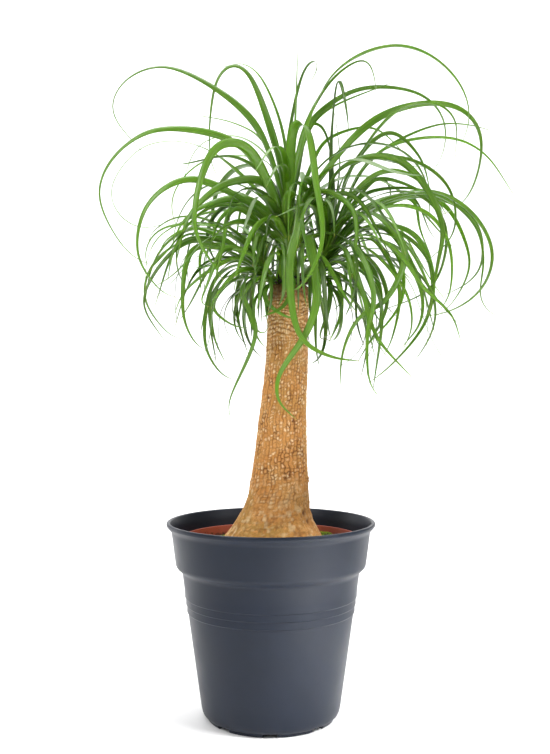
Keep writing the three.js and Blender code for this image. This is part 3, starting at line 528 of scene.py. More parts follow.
# Old knots and holes in the bark: angle in degrees (-90 is the front), height, breadth, how far
# they stand out or sink in, how dark they are painted (on the sunk holes this is painted shade).
# All lengths in mm.
KNOTS = (
    (-78, 276, 2.2, -1.8, 1.0), (-36, 236, 3.4, -2.6, 1.0), (-30, 226, 2.6, -1.8, 0.9),
    (-12, 273, 5.0, 1.8, 0.0), (-118, 300, 4.0, 0.8, 0.1), (60, 330, 3.0, -1.6, 0.8),
    (115, 262, 4.5, 1.5, 0.1), (170, 384, 2.6, -1.4, 0.9), (-62, 418, 3.0, 0.7, 0.2),
)
COLUMNS = 42                # upright rows of corky beads round the stem, 3 to 5 mm wide
BEADS = 97                  # kinds of bead that a column runs through before they repeat
FLARE_TOP = 260.0           # where the swollen base begins, from above


def stem_edges(height):
    """Centre and radius of the stem at a height, from its smoothed outline."""
    spots = [(left, right, z) for z, left, right in STEM_OUTLINE]
    line = catmull_rom(spots, np.linspace(0, 1, 600))
    left = np.interp(height, line[:, 2], line[:, 0])
    right = np.interp(height, line[:, 2], line[:, 1])
    return (left + right) / 2, (right - left) / 2


def cork(turn, height):
    """The bark's relief in mm and its marks, on a net of turn (0 to 1 round the stem) and height.

    Wandering seams cut the turn into upright COLUMNS, and each column is cut across into beads 3 to
    6 mm tall. A bead is a pillow that falls off as a fourth power towards its edges. Near the top
    the beads give way to level wrinkles, and on the swollen base to fine hills and pits."""
    share = (height - SOIL_TOP) / (STEM_TOP - SOIL_TOP)
    broad = hills(turn, share, 9, 12, 1)
    strip = turn * COLUMNS + 0.8 * broad + 0.32 * hills(turn, share, 60, 70, 2)
    column = np.floor(strip).astype(int) % COLUMNS
    random = np.random.default_rng(3)
    tall = random.uniform(3.2, 6.0, COLUMNS)[column]
    step = height / tall + random.uniform(0, 1, COLUMNS)[column]
    step = step + 0.4 * hills(turn, share, 50, 60, 4)
    row = np.floor(step).astype(int) % BEADS
    own = random.uniform(0, 1, (COLUMNS, BEADS))[column, row]
    across = np.abs(2 * (strip % 1.0) - 1)
    along = np.abs(2 * (step % 1.0) - 1)
    along = np.where(own < 0.3, 0.45 * along, along)
    bead = (1 - across ** 4) * (1 - along ** 4)
    fold = height / 4.6 + 1.3 * hills(turn, share, 6, 26, 5) + 0.3 * hills(turn, share, 50, 90, 10)
    wrinkle = 1 - np.abs(2 * (fold % 1.0) - 1) ** 3
    wrinkle = wrinkle * (0.6 + 0.4 * (1 - across ** 4))
    fine = hills(turn, share, 170, 190, 6)
    lumpy = hills(turn, share, 26, 40, 7)
    upper = smooth((height - 395 + 22 * broad) / 40)
    corky = smooth((height - 232 + 16 * broad) / 50)
    top = smooth((height - 474) / 10 + 0.4 * lumpy)
    pillow = mix(bead, wrinkle, upper)
    relief = corky * (0.45 * (own - 0.5) * (1 - upper) + mix(1.35, 0.8, upper) * (pillow - 0.7))
    relief = relief + mix(0.42, 0.2, corky) * fine + mix(0.7, 0.35, corky) * lumpy
    pits = smooth((hills(turn, share, 120, 130, 8) - 0.2) / 0.5)
    spots = smooth((hills(turn, share, 70, 80, 11) - 0.1) / 0.6)
    crack = (1 - pillow) ** 0.8 * (0.6 + 0.4 * hills(turn, share, 24, 30, 12))
    # crown: a cream painted highlight on the raised tops of the beads, patchy from plate to plate
    crown = pillow ** 2 * smooth((own - 0.35 + 0.5 * upper) / 0.5) * smooth((fine + 0.35) / 0.8)
    stain = smooth((hills(turn, share, 7, 11, 9) + 0.05) / 0.6) * smooth((fine + 0.9) / 0.9)
    marks = np.stack([
        mix(0.5 * pits, np.clip(1.25 * crack, 0, 1), mix(0.25, 1.0, corky)),
        mix(0.55 * spots, crown, mix(0.2, 1.0, corky)),
        stain * mix(0.75, 0.35, corky),
        0.8 * top * (0.8 + 0.2 * fine),
    ], axis=-1)
    return relief * (1 - 0.4 * top), marks


def trunk(bark):
    """The stem: rings of the leaning outline with three low swells round the flare, the cork's
    relief and the knots as round bumps and dents, the dents darkened with painted shade. Its top is
    closed by a slightly sunken face."""
    below = np.linspace(STEM_OUTLINE[0][0], SOIL_TOP - 8, 10, endpoint=False)
    height = np.concatenate([below, np.linspace(SOIL_TOP - 8, STEM_TOP, 350)])[:, None]
    angle = full_turn(270)[None]
    centre, radius = stem_edges(height)
    flare = np.clip((FLARE_TOP - height) / (FLARE_TOP - SOIL_TOP), 0, 1)
    relief, marks = cork(angle / (2 * math.pi) + 0 * height, height + 0 * angle)
    for degrees, level, breadth, rise, dark in KNOTS:
        off = (angle - math.radians(degrees) + math.pi) % (2 * math.pi) - math.pi
        away = ((off * radius) ** 2 + (height - level) ** 2) / breadth ** 2
        relief = relief + rise * np.exp(-away)
        # painted shade: the sunk knot holes are darkened in the crack colour
        marks[..., 0] = np.maximum(marks[..., 0], dark * np.exp(-away * 0.8))
    edge = smooth((STEM_TOP - height) / 2.5)
    reach = radius * (1 + 0.025 * flare * np.cos(3 * angle + 0.8)) + relief * edge
    points = np.stack([centre + reach * np.cos(angle), reach * np.sin(angle),
                       height + 0 * angle], axis=-1)
    lid = points[-1] + (np.array([STEM_TOP_CENTRE, 0, STEM_TOP - 1.5]) - points[-1]) * 0.9
    points = np.concatenate([points, lid[None]])
    marks = np.concatenate([np.clip(marks, 0, 1), marks[-1:]])
    return surface("trunk_bark", points, bark, values={"marks": marks})


# ---------------------------------------------------------------- soil and moss

LOOSE_CRUMBS = 2600         # lying on the soil
STUCK_CRUMBS = 150          # sticking to the growing pot's wall
MOSS_TIPS = 6               # per square mm of a cushion's length times its breadth


def soil_height(x, y):
    """Height of the soil's surface in mm: two crossed waves for lumps, and finer ones on them."""
    lumps = np.sin(x / 9 + 1.3) * np.cos(y / 7) + 0.5 * np.sin(y / 4 + x / 13)
    crumbs = 0.35 * np.sin(x / 1.7 + y / 3.1) * np.cos(y / 1.9 - x / 2.7)
    return SOIL_TOP + 1.4 * lumps + crumbs


def soil(earth):
    """The soil: a ring-shaped body round the stem. Its outline runs from the stem's side down,
    out along the growing pot's floor, up its wall and back in over the lumpy surface."""
    angles = full_turn(220)
    centre, stem_radius = stem_edges(SOIL_TOP)
    floor = GROWER_BOTTOM + GROWER_WALL + 0.3
    rim = grower_radius(SOIL_TOP) - 0.4
    side = np.array([[20, 155], [20, floor], [GROWER_BASE - GROWER_WALL - 2.6, floor],
                     [rim - 0.2, SOIL_TOP - 3]])
    base = turned(side, angles)
    outer = turned(np.array([[rim, 0.0]]), angles)[0]
    inner = turned(np.array([[stem_radius - 3, 0.0]]), angles)[0] + np.array([centre, 0, 0])
    share = np.linspace(0, 1, 46)[:, None, None]
    top = mix(outer, inner, share)
    near_wall = np.exp(-np.linspace(0, 46, 46)[:, None] / 5)
    top[..., 2] = soil_height(top[..., 0], top[..., 1]) + 1.5 * near_wall
    points = np.concatenate([base, top, inner[None] + np.array([0, 0, SOIL_TOP - 12])])
    return surface("soil_bed", points, earth, ringed=True)


def lumps(places, sizes, seed):
    """Many small uneven lumps: one coarse ball of 4 rings by 6 sides, each copy stretched, turned
    and roughened at random, centred on its place."""
    random = np.random.default_rng(seed)
    count = len(places)
    polar = np.array([0.35, 1.15, 2.0, 2.8])
    ball = np.stack([np.sin(polar)[:, None] * np.cos(full_turn(6)),
                     np.sin(polar)[:, None] * np.sin(full_turn(6)),
                     np.broadcast_to(-np.cos(polar)[:, None], (4, 6))], axis=-1)
    rough = random.uniform(0.75, 1.2, (count, 4, 6, 1))
    stretch = random.uniform((0.7, 0.5, 0.35), (1.3, 1.0, 0.7), (count, 3))[:, None, None]
    shapes = ball * rough * stretch * sizes[:, None, None, None]
    turns = random.normal(size=(count, 3, 3))
    axes = np.linalg.qr(turns)[0]
    axes = axes * np.linalg.det(axes)[:, None, None]
    return np.einsum("nijk,nlk->nijl", shapes, axes) + places[:, None, None]


def soil_crumbs(bark):
    """Loose chips on the soil: scattered evenly over the ring between stem and wall, most of them
    1 to 2 mm across and a few 4 mm, and some stuck to the growing pot's wall above the soil."""
    random = np.random.default_rng(11)
    count = LOOSE_CRUMBS
    centre, stem_radius = stem_edges(SOIL_TOP)
    angle = random.uniform(0, 2 * math.pi, count)
    share = np.sqrt(random.uniform(0, 1, count))
    rim = grower_radius(SOIL_TOP) - 2
    near = stem_radius + 1
    reach = mix(near, rim, share)
    x = centre * (1 - share) + reach * np.cos(angle)
    y = reach * np.sin(angle)
    size = 0.55 + 1.7 * random.uniform(0, 1, count) ** 4
    places = np.stack([x, y, soil_height(x, y) + 0.2 * size], axis=1)
    stuck = STUCK_CRUMBS
    angle = random.uniform(0, 2 * math.pi, stuck)
    height = SOIL_TOP + 9 * random.uniform(0, 1, stuck) ** 1.6
    reach = grower_radius(np.minimum(height, GROWER_RIM_HEIGHT - GROWER_BAND)) + 0.4
    places = np.concatenate([places, np.stack(
        [reach * np.cos(angle), reach * np.sin(angle), height], axis=1)])
    size = np.concatenate([size, random.uniform(0.4, 1.0, stuck)])
    shade = np.broadcast_to(random.uniform(0, 1, len(size))[:, None, None], (len(size), 4, 6))
    return surface("soil_crumbs", lumps(places, size, 12), bark, values={"shade": shade})


def moss(name, green, degrees, radius, length, breadth, height, seed):
    """A cushion of moss: a low lumpy dome, and on it leafy tips that stand out all over, each a
    slim spindle of three sides leaning its own way."""
    random = np.random.default_rng(seed)
    turn = full_turn(60)[None]
    rise = np.linspace(0, 1, 22)[:, None]
    angle = math.radians(degrees)
    along = np.array([-math.sin(angle), math.cos(angle)])
    across = np.array([math.cos(angle), math.sin(angle)])

    def dome(turn, rise):
        """A point of the dome: turn round it, and rise from its edge (0) to its crown (1)."""
        edge = 1 + 0.12 * np.sin(5 * turn) + 0.06 * np.cos(3 * turn + 1)
        shrink = np.cos(rise * math.pi / 2) ** 0.8 * edge
        u = radius + breadth * shrink * np.cos(turn)
        v = length * shrink * np.sin(turn)
        x, y = u * across[0] + v * along[0], u * across[1] + v * along[1]
        swell = 1 + 0.16 * np.sin(x / 2.6) * np.cos(y / 2.2)
        return np.stack([x, y, soil_height(x, y) - 1 + height * np.sin(rise * math.pi / 2) * swell],
                        axis=-1)

    base = dome(turn, rise)
    base = np.concatenate([base[:1] - np.array([0, 0, 3.0]), base])
    bed = surface(name + "_cushion", base, green, values={"tip": np.full(base.shape[:2], 0.12)})
    count = int(MOSS_TIPS * length * breadth)
    roots = dome(random.uniform(0, 2 * math.pi, count), random.uniform(0, 1, count) ** 1.3)
    lean = random.normal(0, 0.55, (count, 3)) + np.array([0, 0, 1.2])
    lean /= np.linalg.norm(lean, axis=1, keepdims=True)
    tall = random.uniform(0.9, 2.2, count)
    share = np.array([0.0, 0.45, 1.0])
    thick = np.array([0.28, 0.42, 0.05])
    ring = np.stack([np.cos(full_turn(3)), np.sin(full_turn(3)), 0 * full_turn(3)], axis=-1)
    stalks = (roots[:, None, None] + lean[:, None, None] * (share * tall[:, None])[..., None, None]
              + ring * thick[:, None, None])
    tips = np.broadcast_to(share[:, None] * 0.75, (count, 3, 3)) + random.uniform(
        0, 0.3, (count, 1, 1))
    leaves = surface(name + "_tips", stalks, green, values={"tip": tips})
    return bed, leaves

# ---------------------------------------------------------------- the listed leaves

# The leaves that give the crown its shape, by shoot: width, the angles in degrees that the blade
# is rolled by at its root and at its tip, and the spots that it passes on its way out, in mm.
MAIN_LEAVES = (
    # high loop on the left
    (9.5, 20, 66, ((10, -9, 604), (-17, -18, 676), (-64, -26, 717), (-123, -30, 740), (-165, -30, 723),
     (-180, -27, 691), (-139, -17, 638))),
    # long outer arch, left
    (9.5, 25, 60, ((0, -9, 599), (-40, -17, 656), (-118, -26, 671), (-152, -26, 661), (-185, -26, 629),
     (-195, -24, 593), (-160, -16, 529), (-129, -11, 515))),
    # second outer arch, left
    (7.5, 30, 80, ((-22, 13, 613), (-78, 21, 659), (-118, 26, 669), (-156, 26, 659), (-189, 26, 614),
     (-185, 26, 590), (-160, 21, 567), (-130, 16, 567), (-111, 11, 577))),
    # tall arch left of centre
    (10, 35, 60, ((7, -3, 649), (-27, -12, 740), (-43, -14, 748), (-61, -14, 732), (-69, -9, 636),
     (-56, -6, 612))),
    # thin blade beside it
    (5.5, 20, 30, ((16, 24, 667), (2, 28, 717), (-18, 32, 753), (-37, 36, 764), (-72, 41, 755))),
    # upright needle
    (4, 0, 20, ((25, -10, 627), (29, -6, 708), (31, -2, 775))),
    # top curl
    (9, 60, 60, ((20, 9, 664), (40, 12, 751), (50, 8, 760), (55, 4, 752), (31, -6, 704))),
    # front fold, right
    (12.5, 0, -10, ((22, -17, 611), (25, -34, 667), (30, -44, 674), (38, -52, 668), (49, -72, 600),
     (55, -78, 532), (28, -74, 483), (14, -70, 483))),
    # front fold, centre
    (13.5, 0, -15, ((16, -21, 574), (19, -32, 593), (30, -49, 593), (30, -64, 550), (21, -72, 519),
     (32, -80, 433), (64, -76, 412), (100, -70, 407))),
    # front blade down the trunk
    (12, 0, 20, ((36, -25, 545), (38, -38, 550), (43, -50, 540), (50, -68, 474), (40, -70, 440),
     (8, -74, 389), (8, -74, 365), (29, -70, 343))),
    # front fold, left
    (12, 10, -20, ((10, -24, 558), (4, -36, 567), (-15, -56, 555), (-40, -70, 497))),
    # front drop, left
    (10, 10, 10, ((11, -34, 526), (5, -49, 528), (-4, -70, 511), (-15, -82, 460))),
    # bold arch, left
    (12, 20, 25, ((-5, -44, 609), (-22, -67, 636), (-38, -80, 642), (-59, -90, 633), (-80, -102, 549),
     (-49, -90, 490))),
    # middle arch, left
    (9.5, 35, 40, ((-10, -18, 576), (-90, -40, 611), (-136, -44, 583), (-148, -42, 526),
     (-119, -34, 483),
     (-104, -30, 479))),
    # broad bright arch, left
    (11, 30, 30, ((6, -15, 586), (-8, -25, 610), (-51, -45, 604), (-89, -56, 568), (-104, -54, 516))),
    # lower bright arch, left
    (11, 30, 30, ((-15, 0, 589), (-41, -10, 595), (-81, -28, 580), (-99, -32, 564), (-111, -34, 538))),
    # back arch, left
    (7, 20, 60, ((-3, 19, 647), (-42, 32, 676), (-85, 39, 667), (-109, 39, 615))),
    # low back arch, left
    (8, 30, 50, ((-3, 30, 644), (-23, 36, 652), (-72, 48, 653), (-102, 52, 635), (-119, 54, 608),
     (-118, 53, 581), (-107, 50, 561))),
    # thin level blade, left
    (4.5, 20, 20, ((-11, 52, 676), (-44, 62, 699), (-102, 70, 713))),
    # highest loop, right
    (9.5, 45, 72, ((30, -1, 638), (55, -4, 712), (76, -2, 743), (107, -4, 763), (147, -12, 769),
     (186, -20, 752), (218, -24, 714), (224, -26, 678), (207, -26, 636))),
    # thin hook, right
    (5, 20, 20, ((38, 6, 677), (77, 12, 743), (111, 14, 761), (122, 10, 731), (121, 8, 711))),
    # upper arch, right
    (8, 45, 65, ((35, 14, 655), (46, 18, 689), (104, 24, 730), (177, 22, 723), (203, 20, 694),
     (203, 18, 655), (186, 16, 624))),
    # thin straight blade, right
    (4.5, 20, 20, ((38, 20, 663), (60, 28, 701), (153, 40, 746))),
    # large outer loop, right
    (10, 45, 68, ((52, 8, 613), (124, 14, 693), (191, 10, 710), (226, 6, 699), (243, 2, 672),
     (237, -4, 620), (217, -8, 586), (156, -12, 564))),
    # pale front blade, left
    (8, 10, 10, ((-36, -46, 577), (-47, -54, 567), (-51, -60, 540), (-63, -62, 485))),
    # front arch, right
    (8, 10, 10, ((58, -30, 583), (77, -38, 595), (96, -46, 587), (132, -56, 522))),
    # front hanging blade, right
    (9.5, 10, 0, ((39, -33, 583), (57, -46, 596), (87, -62, 576), (93, -66, 556), (88, -70, 496))),
    # short front drop, right
    (8.5, 0, 10, ((46, -40, 527), (57, -48, 522), (79, -56, 483), (94, -56, 461))),
    # crossed blade, left
    (8, 10, 20, ((25, -36, 493), (14, -50, 468), (-11, -56, 455))),
    # crossed blade, right
    (8, 10, 20, ((-6, -39, 487), (-5, -39, 475), (17, -48, 457), (32, -50, 455))),
    # folded blade, left
    (9, 10, 0, ((-19, -8, 578), (-33, -14, 586), (-57, -24, 569), (-69, -26, 536))),
    # near fold, left
    (10, 10, -10, ((0, -36, 551), (-8, -42, 543), (-18, -50, 506))),
    # small dark curl, left
    (6.5, 30, 40, ((8, 48, 585), (-3, 54, 616), (-15, 56, 625), (-27, 56, 622), (-34, 54, 611))),
    # backward arch, left
    (8, 30, 40, ((-1, 23, 573), (-23, 28, 600), (-46, 34, 610), (-71, 38, 606), (-104, 40, 571),
     (-109, 38, 546))),
    # inner fold, right
    (7, 0, 10, ((30, 35, 625), (48, 42, 694), (60, 42, 691), (71, 42, 660), (69, 40, 635))),
    # thin inner arch, right
    (6, 20, 30, ((34, 36, 601), (49, 50, 646), (66, 54, 676), (111, 56, 693), (132, 54, 688),
     (163, 50, 657))),
)
LEFT_LEAVES = (
    # long drop, left
    (8, 0, 40, ((-21, -35, 503), (-32, -44, 487), (-16, -52, 441), (-46, -56, 360), (-44, -56, 343))),
    # side arch, far left
    (7, 20, 40, ((-48, 14, 560), (-118, 22, 568), (-140, 22, 555), (-148, 22, 534), (-145, 22, 518))),
    # side arch, cupped
    (7, 20, 40, ((-52, -16, 546), (-88, -22, 559), (-118, -28, 544), (-127, -30, 526))),
    # side fall, far left
    (7, 20, 40, ((-90, -20, 545), (-143, -32, 477), (-116, -32, 425))),
    # side fall, hooked
    (7, 20, 40, ((-65, 12, 550), (-112, 15, 544), (-142, 16, 515), (-147, 16, 480), (-116, 15, 438),
     (-102, 14, 434))),
    # side drop, left
    (8.5, 10, 20, ((-52, -28, 533), (-83, -38, 535), (-93, -42, 520), (-96, -48, 455), (-82, -48, 426),
     (-72, -48, 420))),
    # low hook, left
    (7.5, 10, 20, ((-41, -18, 521), (-64, -17, 500), (-74, -20, 426), (-55, -20, 393),
     (-40, -18, 386))),
    # low slant, left
    (7, 10, 20, ((-37, -27, 513), (-59, -25, 494), (-67, -28, 469), (-63, -30, 433), (-50, -30, 404))),
    # low swing, left
    (6.5, 10, 20, ((-29, -32, 504), (-55, -30, 488), (-64, -34, 467), (-42, -34, 448),
     (-23, -32, 445))),
    # thin far arch, left
    (5.5, 20, 30, ((-33, 18, 544), (-74, 24, 575), (-112, 24, 578), (-140, 20, 559), (-144, 18, 547))),
    # high thin arch, left
    (6, 20, 30, ((-25, 30, 582), (-75, 32, 585), (-131, 26, 557), (-143, 24, 540))),
    # crossing fall, left
    (6.5, 20, 30, ((-37, -30, 523), (-68, -40, 509), (-98, -42, 482), (-108, -42, 457))),
    # short hook, left
    (8, 10, 30, ((-23, -34, 526), (-50, -46, 533), (-70, -52, 492), (-76, -54, 471), (-67, -54, 467))),
    # dark drop, left
    (7, 10, 10, ((-36, 2, 537), (-73, 5, 543), (-81, 5, 534), (-81, 5, 486))),
    # pale drop, left
    (8, 10, 10, ((-32, -53, 508), (-62, -62, 475), (-65, -62, 464))),
    # short dark blade, left
    (9, 10, 20, ((-12, -46, 499), (-21, -52, 494), (-34, -56, 473))),
    # thin plumb blade, left
    (5.5, 10, 10, ((-19, -32, 500), (-29, -23, 492), (-38, -22, 448))),
    # low curve, left
    (7, 10, 20, ((-19, -40, 496), (-28, -34, 486), (-28, -29, 472), (-13, -29, 431), (-4, -28, 422))),
    # dry curl, left
    (5.5, 10, 30, ((-18, -55, 471), (-14, -57, 440), (-6, -55, 439), (-2, -52, 451))),
    # thin far drop, left
    (6, 20, 20, ((-36, -5, 538), (-90, -14, 549), (-108, -16, 537), (-133, -17, 468))),
    # inner drop, left
    (5.5, 20, 20, ((-37, 25, 542), (-67, 41, 559), (-107, 44, 558), (-113, 44, 524), (-101, 44, 492))),
)
RIGHT_LEAVES = (
    # upright fold, right
    (9, 80, 60, ((71, 16, 597), (70, 16, 665), (78, 4, 738), (89, -8, 673), (86, -8, 658))),
    # narrow upright, right
    (6, 60, 60, ((82, 42, 645), (79, 42, 686), (74, 42, 716))),
    # second loop, right
    (8, 45, 50, ((94, -8, 629), (146, -14, 695), (188, -18, 701), (209, -20, 682), (209, -20, 639))),
    # thin outer blade, right
    (5, 20, 20, ((114, 30, 643), (196, 40, 691), (238, 42, 692), (269, 44, 684))),
    # furthest blade, right
    (5.5, 20, 20, ((108, 9, 635), (148, 12, 663), (214, 14, 669), (249, 12, 651), (285, 8, 598))),
    # broad falling blade, right
    (12.5, 20, 20, ((74, -30, 619), (137, -55, 630), (186, -66, 560), (181, -64, 509),
     (173, -58, 458))),
    # short arch, right
    (8, 20, 20, ((92, 5, 630), (138, 8, 675), (173, 4, 644), (185, 0, 600))),
    # returning arch, right
    (8, 30, 60, ((84, -15, 620), (105, -20, 636), (159, -30, 634), (199, -36, 602), (204, -38, 551),
     (162, -34, 509))),
    # widest arch, right
    (8, 35, 45, ((84, -18, 566), (133, -32, 593), (186, -40, 596), (228, -42, 568), (247, -42, 526),
     (234, -40, 487), (199, -36, 463), (160, -32, 457))),
    # flicked tip, right
    (7.5, 35, 50, ((97, -1, 573), (148, -8, 597), (193, -14, 596), (233, -16, 562), (242, -16, 524),
     (238, -16, 480), (248, -16, 464), (260, -16, 458))),
    # inner arch, right
    (8, 35, 50, ((116, 16, 580), (169, 20, 604), (205, 20, 592), (233, 17, 531), (230, 16, 508),
     (209, 12, 473), (193, 10, 461))),
    # lower arch, right
    (8, 30, 40, ((101, -21, 568), (146, -24, 584), (179, -30, 572), (200, -32, 539), (200, -32, 482),
     (186, -30, 460))),
    # low drop, far right
    (8, 20, 20, ((99, -45, 547), (135, -69, 528), (166, -76, 485), (195, -78, 456), (205, -78, 426))),
    # low hook, right
    (8.5, 10, 20, ((82, -45, 542), (102, -69, 515), (111, -80, 473), (104, -82, 440), (107, -80, 382),
     (118, -78, 367))),
    # low slant, right
    (8, 10, 20, ((82, -43, 525), (99, -70, 484), (114, -77, 434), (154, -78, 387))),
    # back drop, right
    (8, 20, 40, ((121, 10, 567), (168, 12, 556), (189, 12, 509), (181, 10, 456), (140, 8, 404),
     (108, 6, 379))),
    # bowed front blade, right
    (10, 10, 20, ((83, -30, 569), (111, -42, 573), (147, -60, 529), (124, -68, 472), (96, -70, 455),
     (78, -70, 417), (75, -70, 375))),
    # back arch, right
    (9, 20, 30, ((79, -10, 575), (92, -19, 596), (125, -22, 622), (157, -24, 619), (187, -30, 589),
     (198, -32, 570))),
    # low back arch, right
    (7, 20, 30, ((96, 18, 602), (128, 18, 623), (193, 14, 596), (202, 12, 579))),
    # level blade, right
    (6, 20, 20, ((88, 24, 575), (112, 28, 607), (181, 28, 611), (211, 26, 591))),
    # back hook, right
    (6.5, 20, 40, ((96, 36, 594), (131, 38, 628), (141, 38, 619), (143, 38, 587))),
    # inner hook, right
    (7.5, 10, 20, ((105, 23, 580), (133, 24, 600), (168, 26, 599), (176, 26, 565), (189, 26, 533))),
    # thin inner drop, right
    (5, 10, 20, ((110, 30, 584), (166, 36, 607), (191, 36, 560), (200, 36, 552))),
    # middle arch, right
    (7.5, 20, 20, ((86, -7, 547), (126, -8, 561), (165, -11, 543), (185, -12, 509), (182, -12, 468))),
    # middle drop, right
    (8, 20, 20, ((90, -19, 542), (107, -25, 547), (120, -32, 538), (143, -40, 490), (134, -40, 430),
     (125, -40, 413))),
    # broad drop, right
    (9, 10, 20, ((91, -27, 552), (117, -35, 559), (136, -42, 548), (166, -50, 486), (165, -50, 450),
     (143, -50, 421))),
    # thin drop, right
    (6, 10, 20, ((94, -32, 538), (119, -40, 524), (151, -46, 481), (156, -46, 445), (145, -46, 417))),
    # outer return, right
    (7, 20, 40, ((92, 5, 565), (127, 8, 589), (168, 10, 600), (205, 10, 595), (232, 10, 579),
     (245, 10, 555), (244, 10, 517), (227, 10, 498), (196, 10, 483))),
    # inner return, right
    (6.5, 20, 40, ((94, 9, 583), (132, 4, 603), (167, 1, 602), (192, 0, 583), (203, 0, 555),
     (186, -1, 495), (116, -6, 462))),
    # near fall, right
    (9.5, 10, 10, ((74, -33, 519), (86, -35, 513), (114, -42, 463), (123, -42, 450))),
    # second fall, right
    (9, 10, 10, ((81, -21, 527), (96, -27, 521), (114, -35, 486), (111, -36, 435))),
    # third fall, right
    (9, 10, 10, ((87, -1, 541), (103, 3, 536), (125, 1, 496), (126, 0, 455), (118, 0, 436))),
    # low drop, right of the stem
    (8.5, 10, 10, ((70, -22, 510), (79, -34, 464), (65, -34, 428))),
    # curled drop, right of the stem
    (7.5, 10, 30, ((65, -12, 502), (66, -20, 469), (56, -18, 434), (64, -16, 433))),
    # short drop, right of the stem
    (7, 10, 20, ((75, 4, 511), (95, -2, 488), (85, -4, 458))),
    # slanting drop, right
    (7.5, 10, 20, ((89, -35, 530), (113, -41, 518), (129, -46, 473), (95, -47, 404))),
    # bright slant, right
    (7.5, 20, 20, ((93, -13, 545), (124, -15, 546), (145, -16, 527), (149, -16, 478), (108, -16, 423))),
)

# ---------------------------------------------------------------- leaves

# The shoots on top of the stem: the spots of the line each follows, and its radius at both ends.
SHOOTS = {
    "main": {"spine": ((19, -1, 0), (20, -1, 34), (20, 0, 68)), "radii": (15, 6)},
    "left": {"spine": ((6, -3, 0), (-3, -3, 11), (-13, -1, 27)), "radii": (7.5, 6)},
    "right": {"spine": ((34, 5, 0), (47, 9, 14), (68, 14, 40)), "radii": (12, 10)},
}
# How the blades of each shoot are set out by rule, first value the youngest blade, second the
# oldest. Angles are in degrees above the horizon, widths and lengths in mm.
HABITS = {
    "main": {"count": 24, "seed": 204, "spread": 180, "lean_to": 90, "lean": 0, "launch": (78, 15),
             "length": (300, 190), "fall": (120, 165), "width": (11, 9)},
    "left": {"count": 18, "seed": 52, "spread": 120, "lean_to": 178, "lean": 15, "launch": (75, 5),
             "length": (215, 165), "fall": (120, 160), "width": (8, 6.5)},
    "right": {"count": 24, "seed": 166, "spread": 125, "lean_to": 12, "lean": 15, "launch": (75, 0),
              "length": (280, 190), "fall": (110, 160), "width": (9.5, 7.5)},
}
# Smaller leaves that fill the crown among the others, set out by the same rule.
SMALL_LEAVES = {
    "main": {"count": 10, "seed": 426, "spread": 180, "lean_to": 90, "lean": 0, "launch": (80, 40),
             "length": (230, 150), "fall": (110, 165), "width": (9, 8)},
    "left": {"count": 18, "seed": 409, "spread": 130, "lean_to": 178, "lean": 15,
             "launch": (70, 5), "length": (190, 120), "fall": (110, 160), "width": (7.5, 6)},
    "right": {"count": 22, "seed": 130, "spread": 130, "lean_to": 12, "lean": 15,
              "launch": (70, -5), "length": (230, 140), "fall": (110, 160), "width": (8.5, 6.5)},
}
GOLDEN_TURN = 0.618
ARCH_STEPS = 12
TRUNK_ROOM = 40.0           # hanging blades keep this far from the stem's centre line
BLADE_RINGS = 72
RIPPLE_LENGTH = 9.0         # of the faint ripples in a blade's edges, per radian
FACING = 0.12               # how firmly a chosen blade turns its flat side to the front, per ring
FACING_FROM = 0.25          # and how far along it that begins
CHOSEN_AGE = 0.45
OLD_BASES = 46              # dry bases of shed leaves
GOLDEN_ANGLE = 137.5        # degrees from one base to the next

# A leaf before it has a surface: its route in mm, its width, the degrees that it is rolled by at
# its root and at its tip, its age from 0 to 1 and how firmly it turns to the front.
Blade = namedtuple("Blade", "route width rolls age facing")


def shoot_point(shoot, place):
    spots = np.array(shoot["spine"], float) + np.array([0, 0, SHOOT_FOOT])
    return catmull_rom(spots, place)


def blade_root(shoot, direction):
    """Where a blade leaves its shoot: the steeper it starts, the nearer to the shoot's tip, and
    set off the middle towards the side that it leaves on."""
    place = mix(0.15, 0.95, max(0.0, direction[2]))
    offset = 0.6 * mix(shoot["radii"][0], shoot["radii"][1], place)
    return shoot_point(shoot, place) + offset * np.array([direction[0], direction[1], 0.0])


def heading(azimuth, pitch):
    flat = math.cos(pitch)
    return np.array([flat * math.cos(azimuth), flat * math.sin(azimuth), math.sin(pitch)])


def bend(t):
    """How far a turn has gone at t: nothing below 0, all of it above 1, eased by 3t^2 - 2t^3."""
    t = min(1.0, max(0.0, t))
    return t * t * (3 - 2 * t)


def clear_of_stem(spot):
    """Pushes a spot of a hanging blade straight out from the stem to TRUNK_ROOM."""
    away = spot[:2] - np.array([STEM_TOP_CENTRE, 0.0])
    reach = np.linalg.norm(away)
    if spot[2] > STEM_TOP + 8 or reach >= TRUNK_ROOM:
        return spot
    away = away * TRUNK_ROOM / reach
    return np.array([STEM_TOP_CENTRE + away[0], away[1], spot[2]])


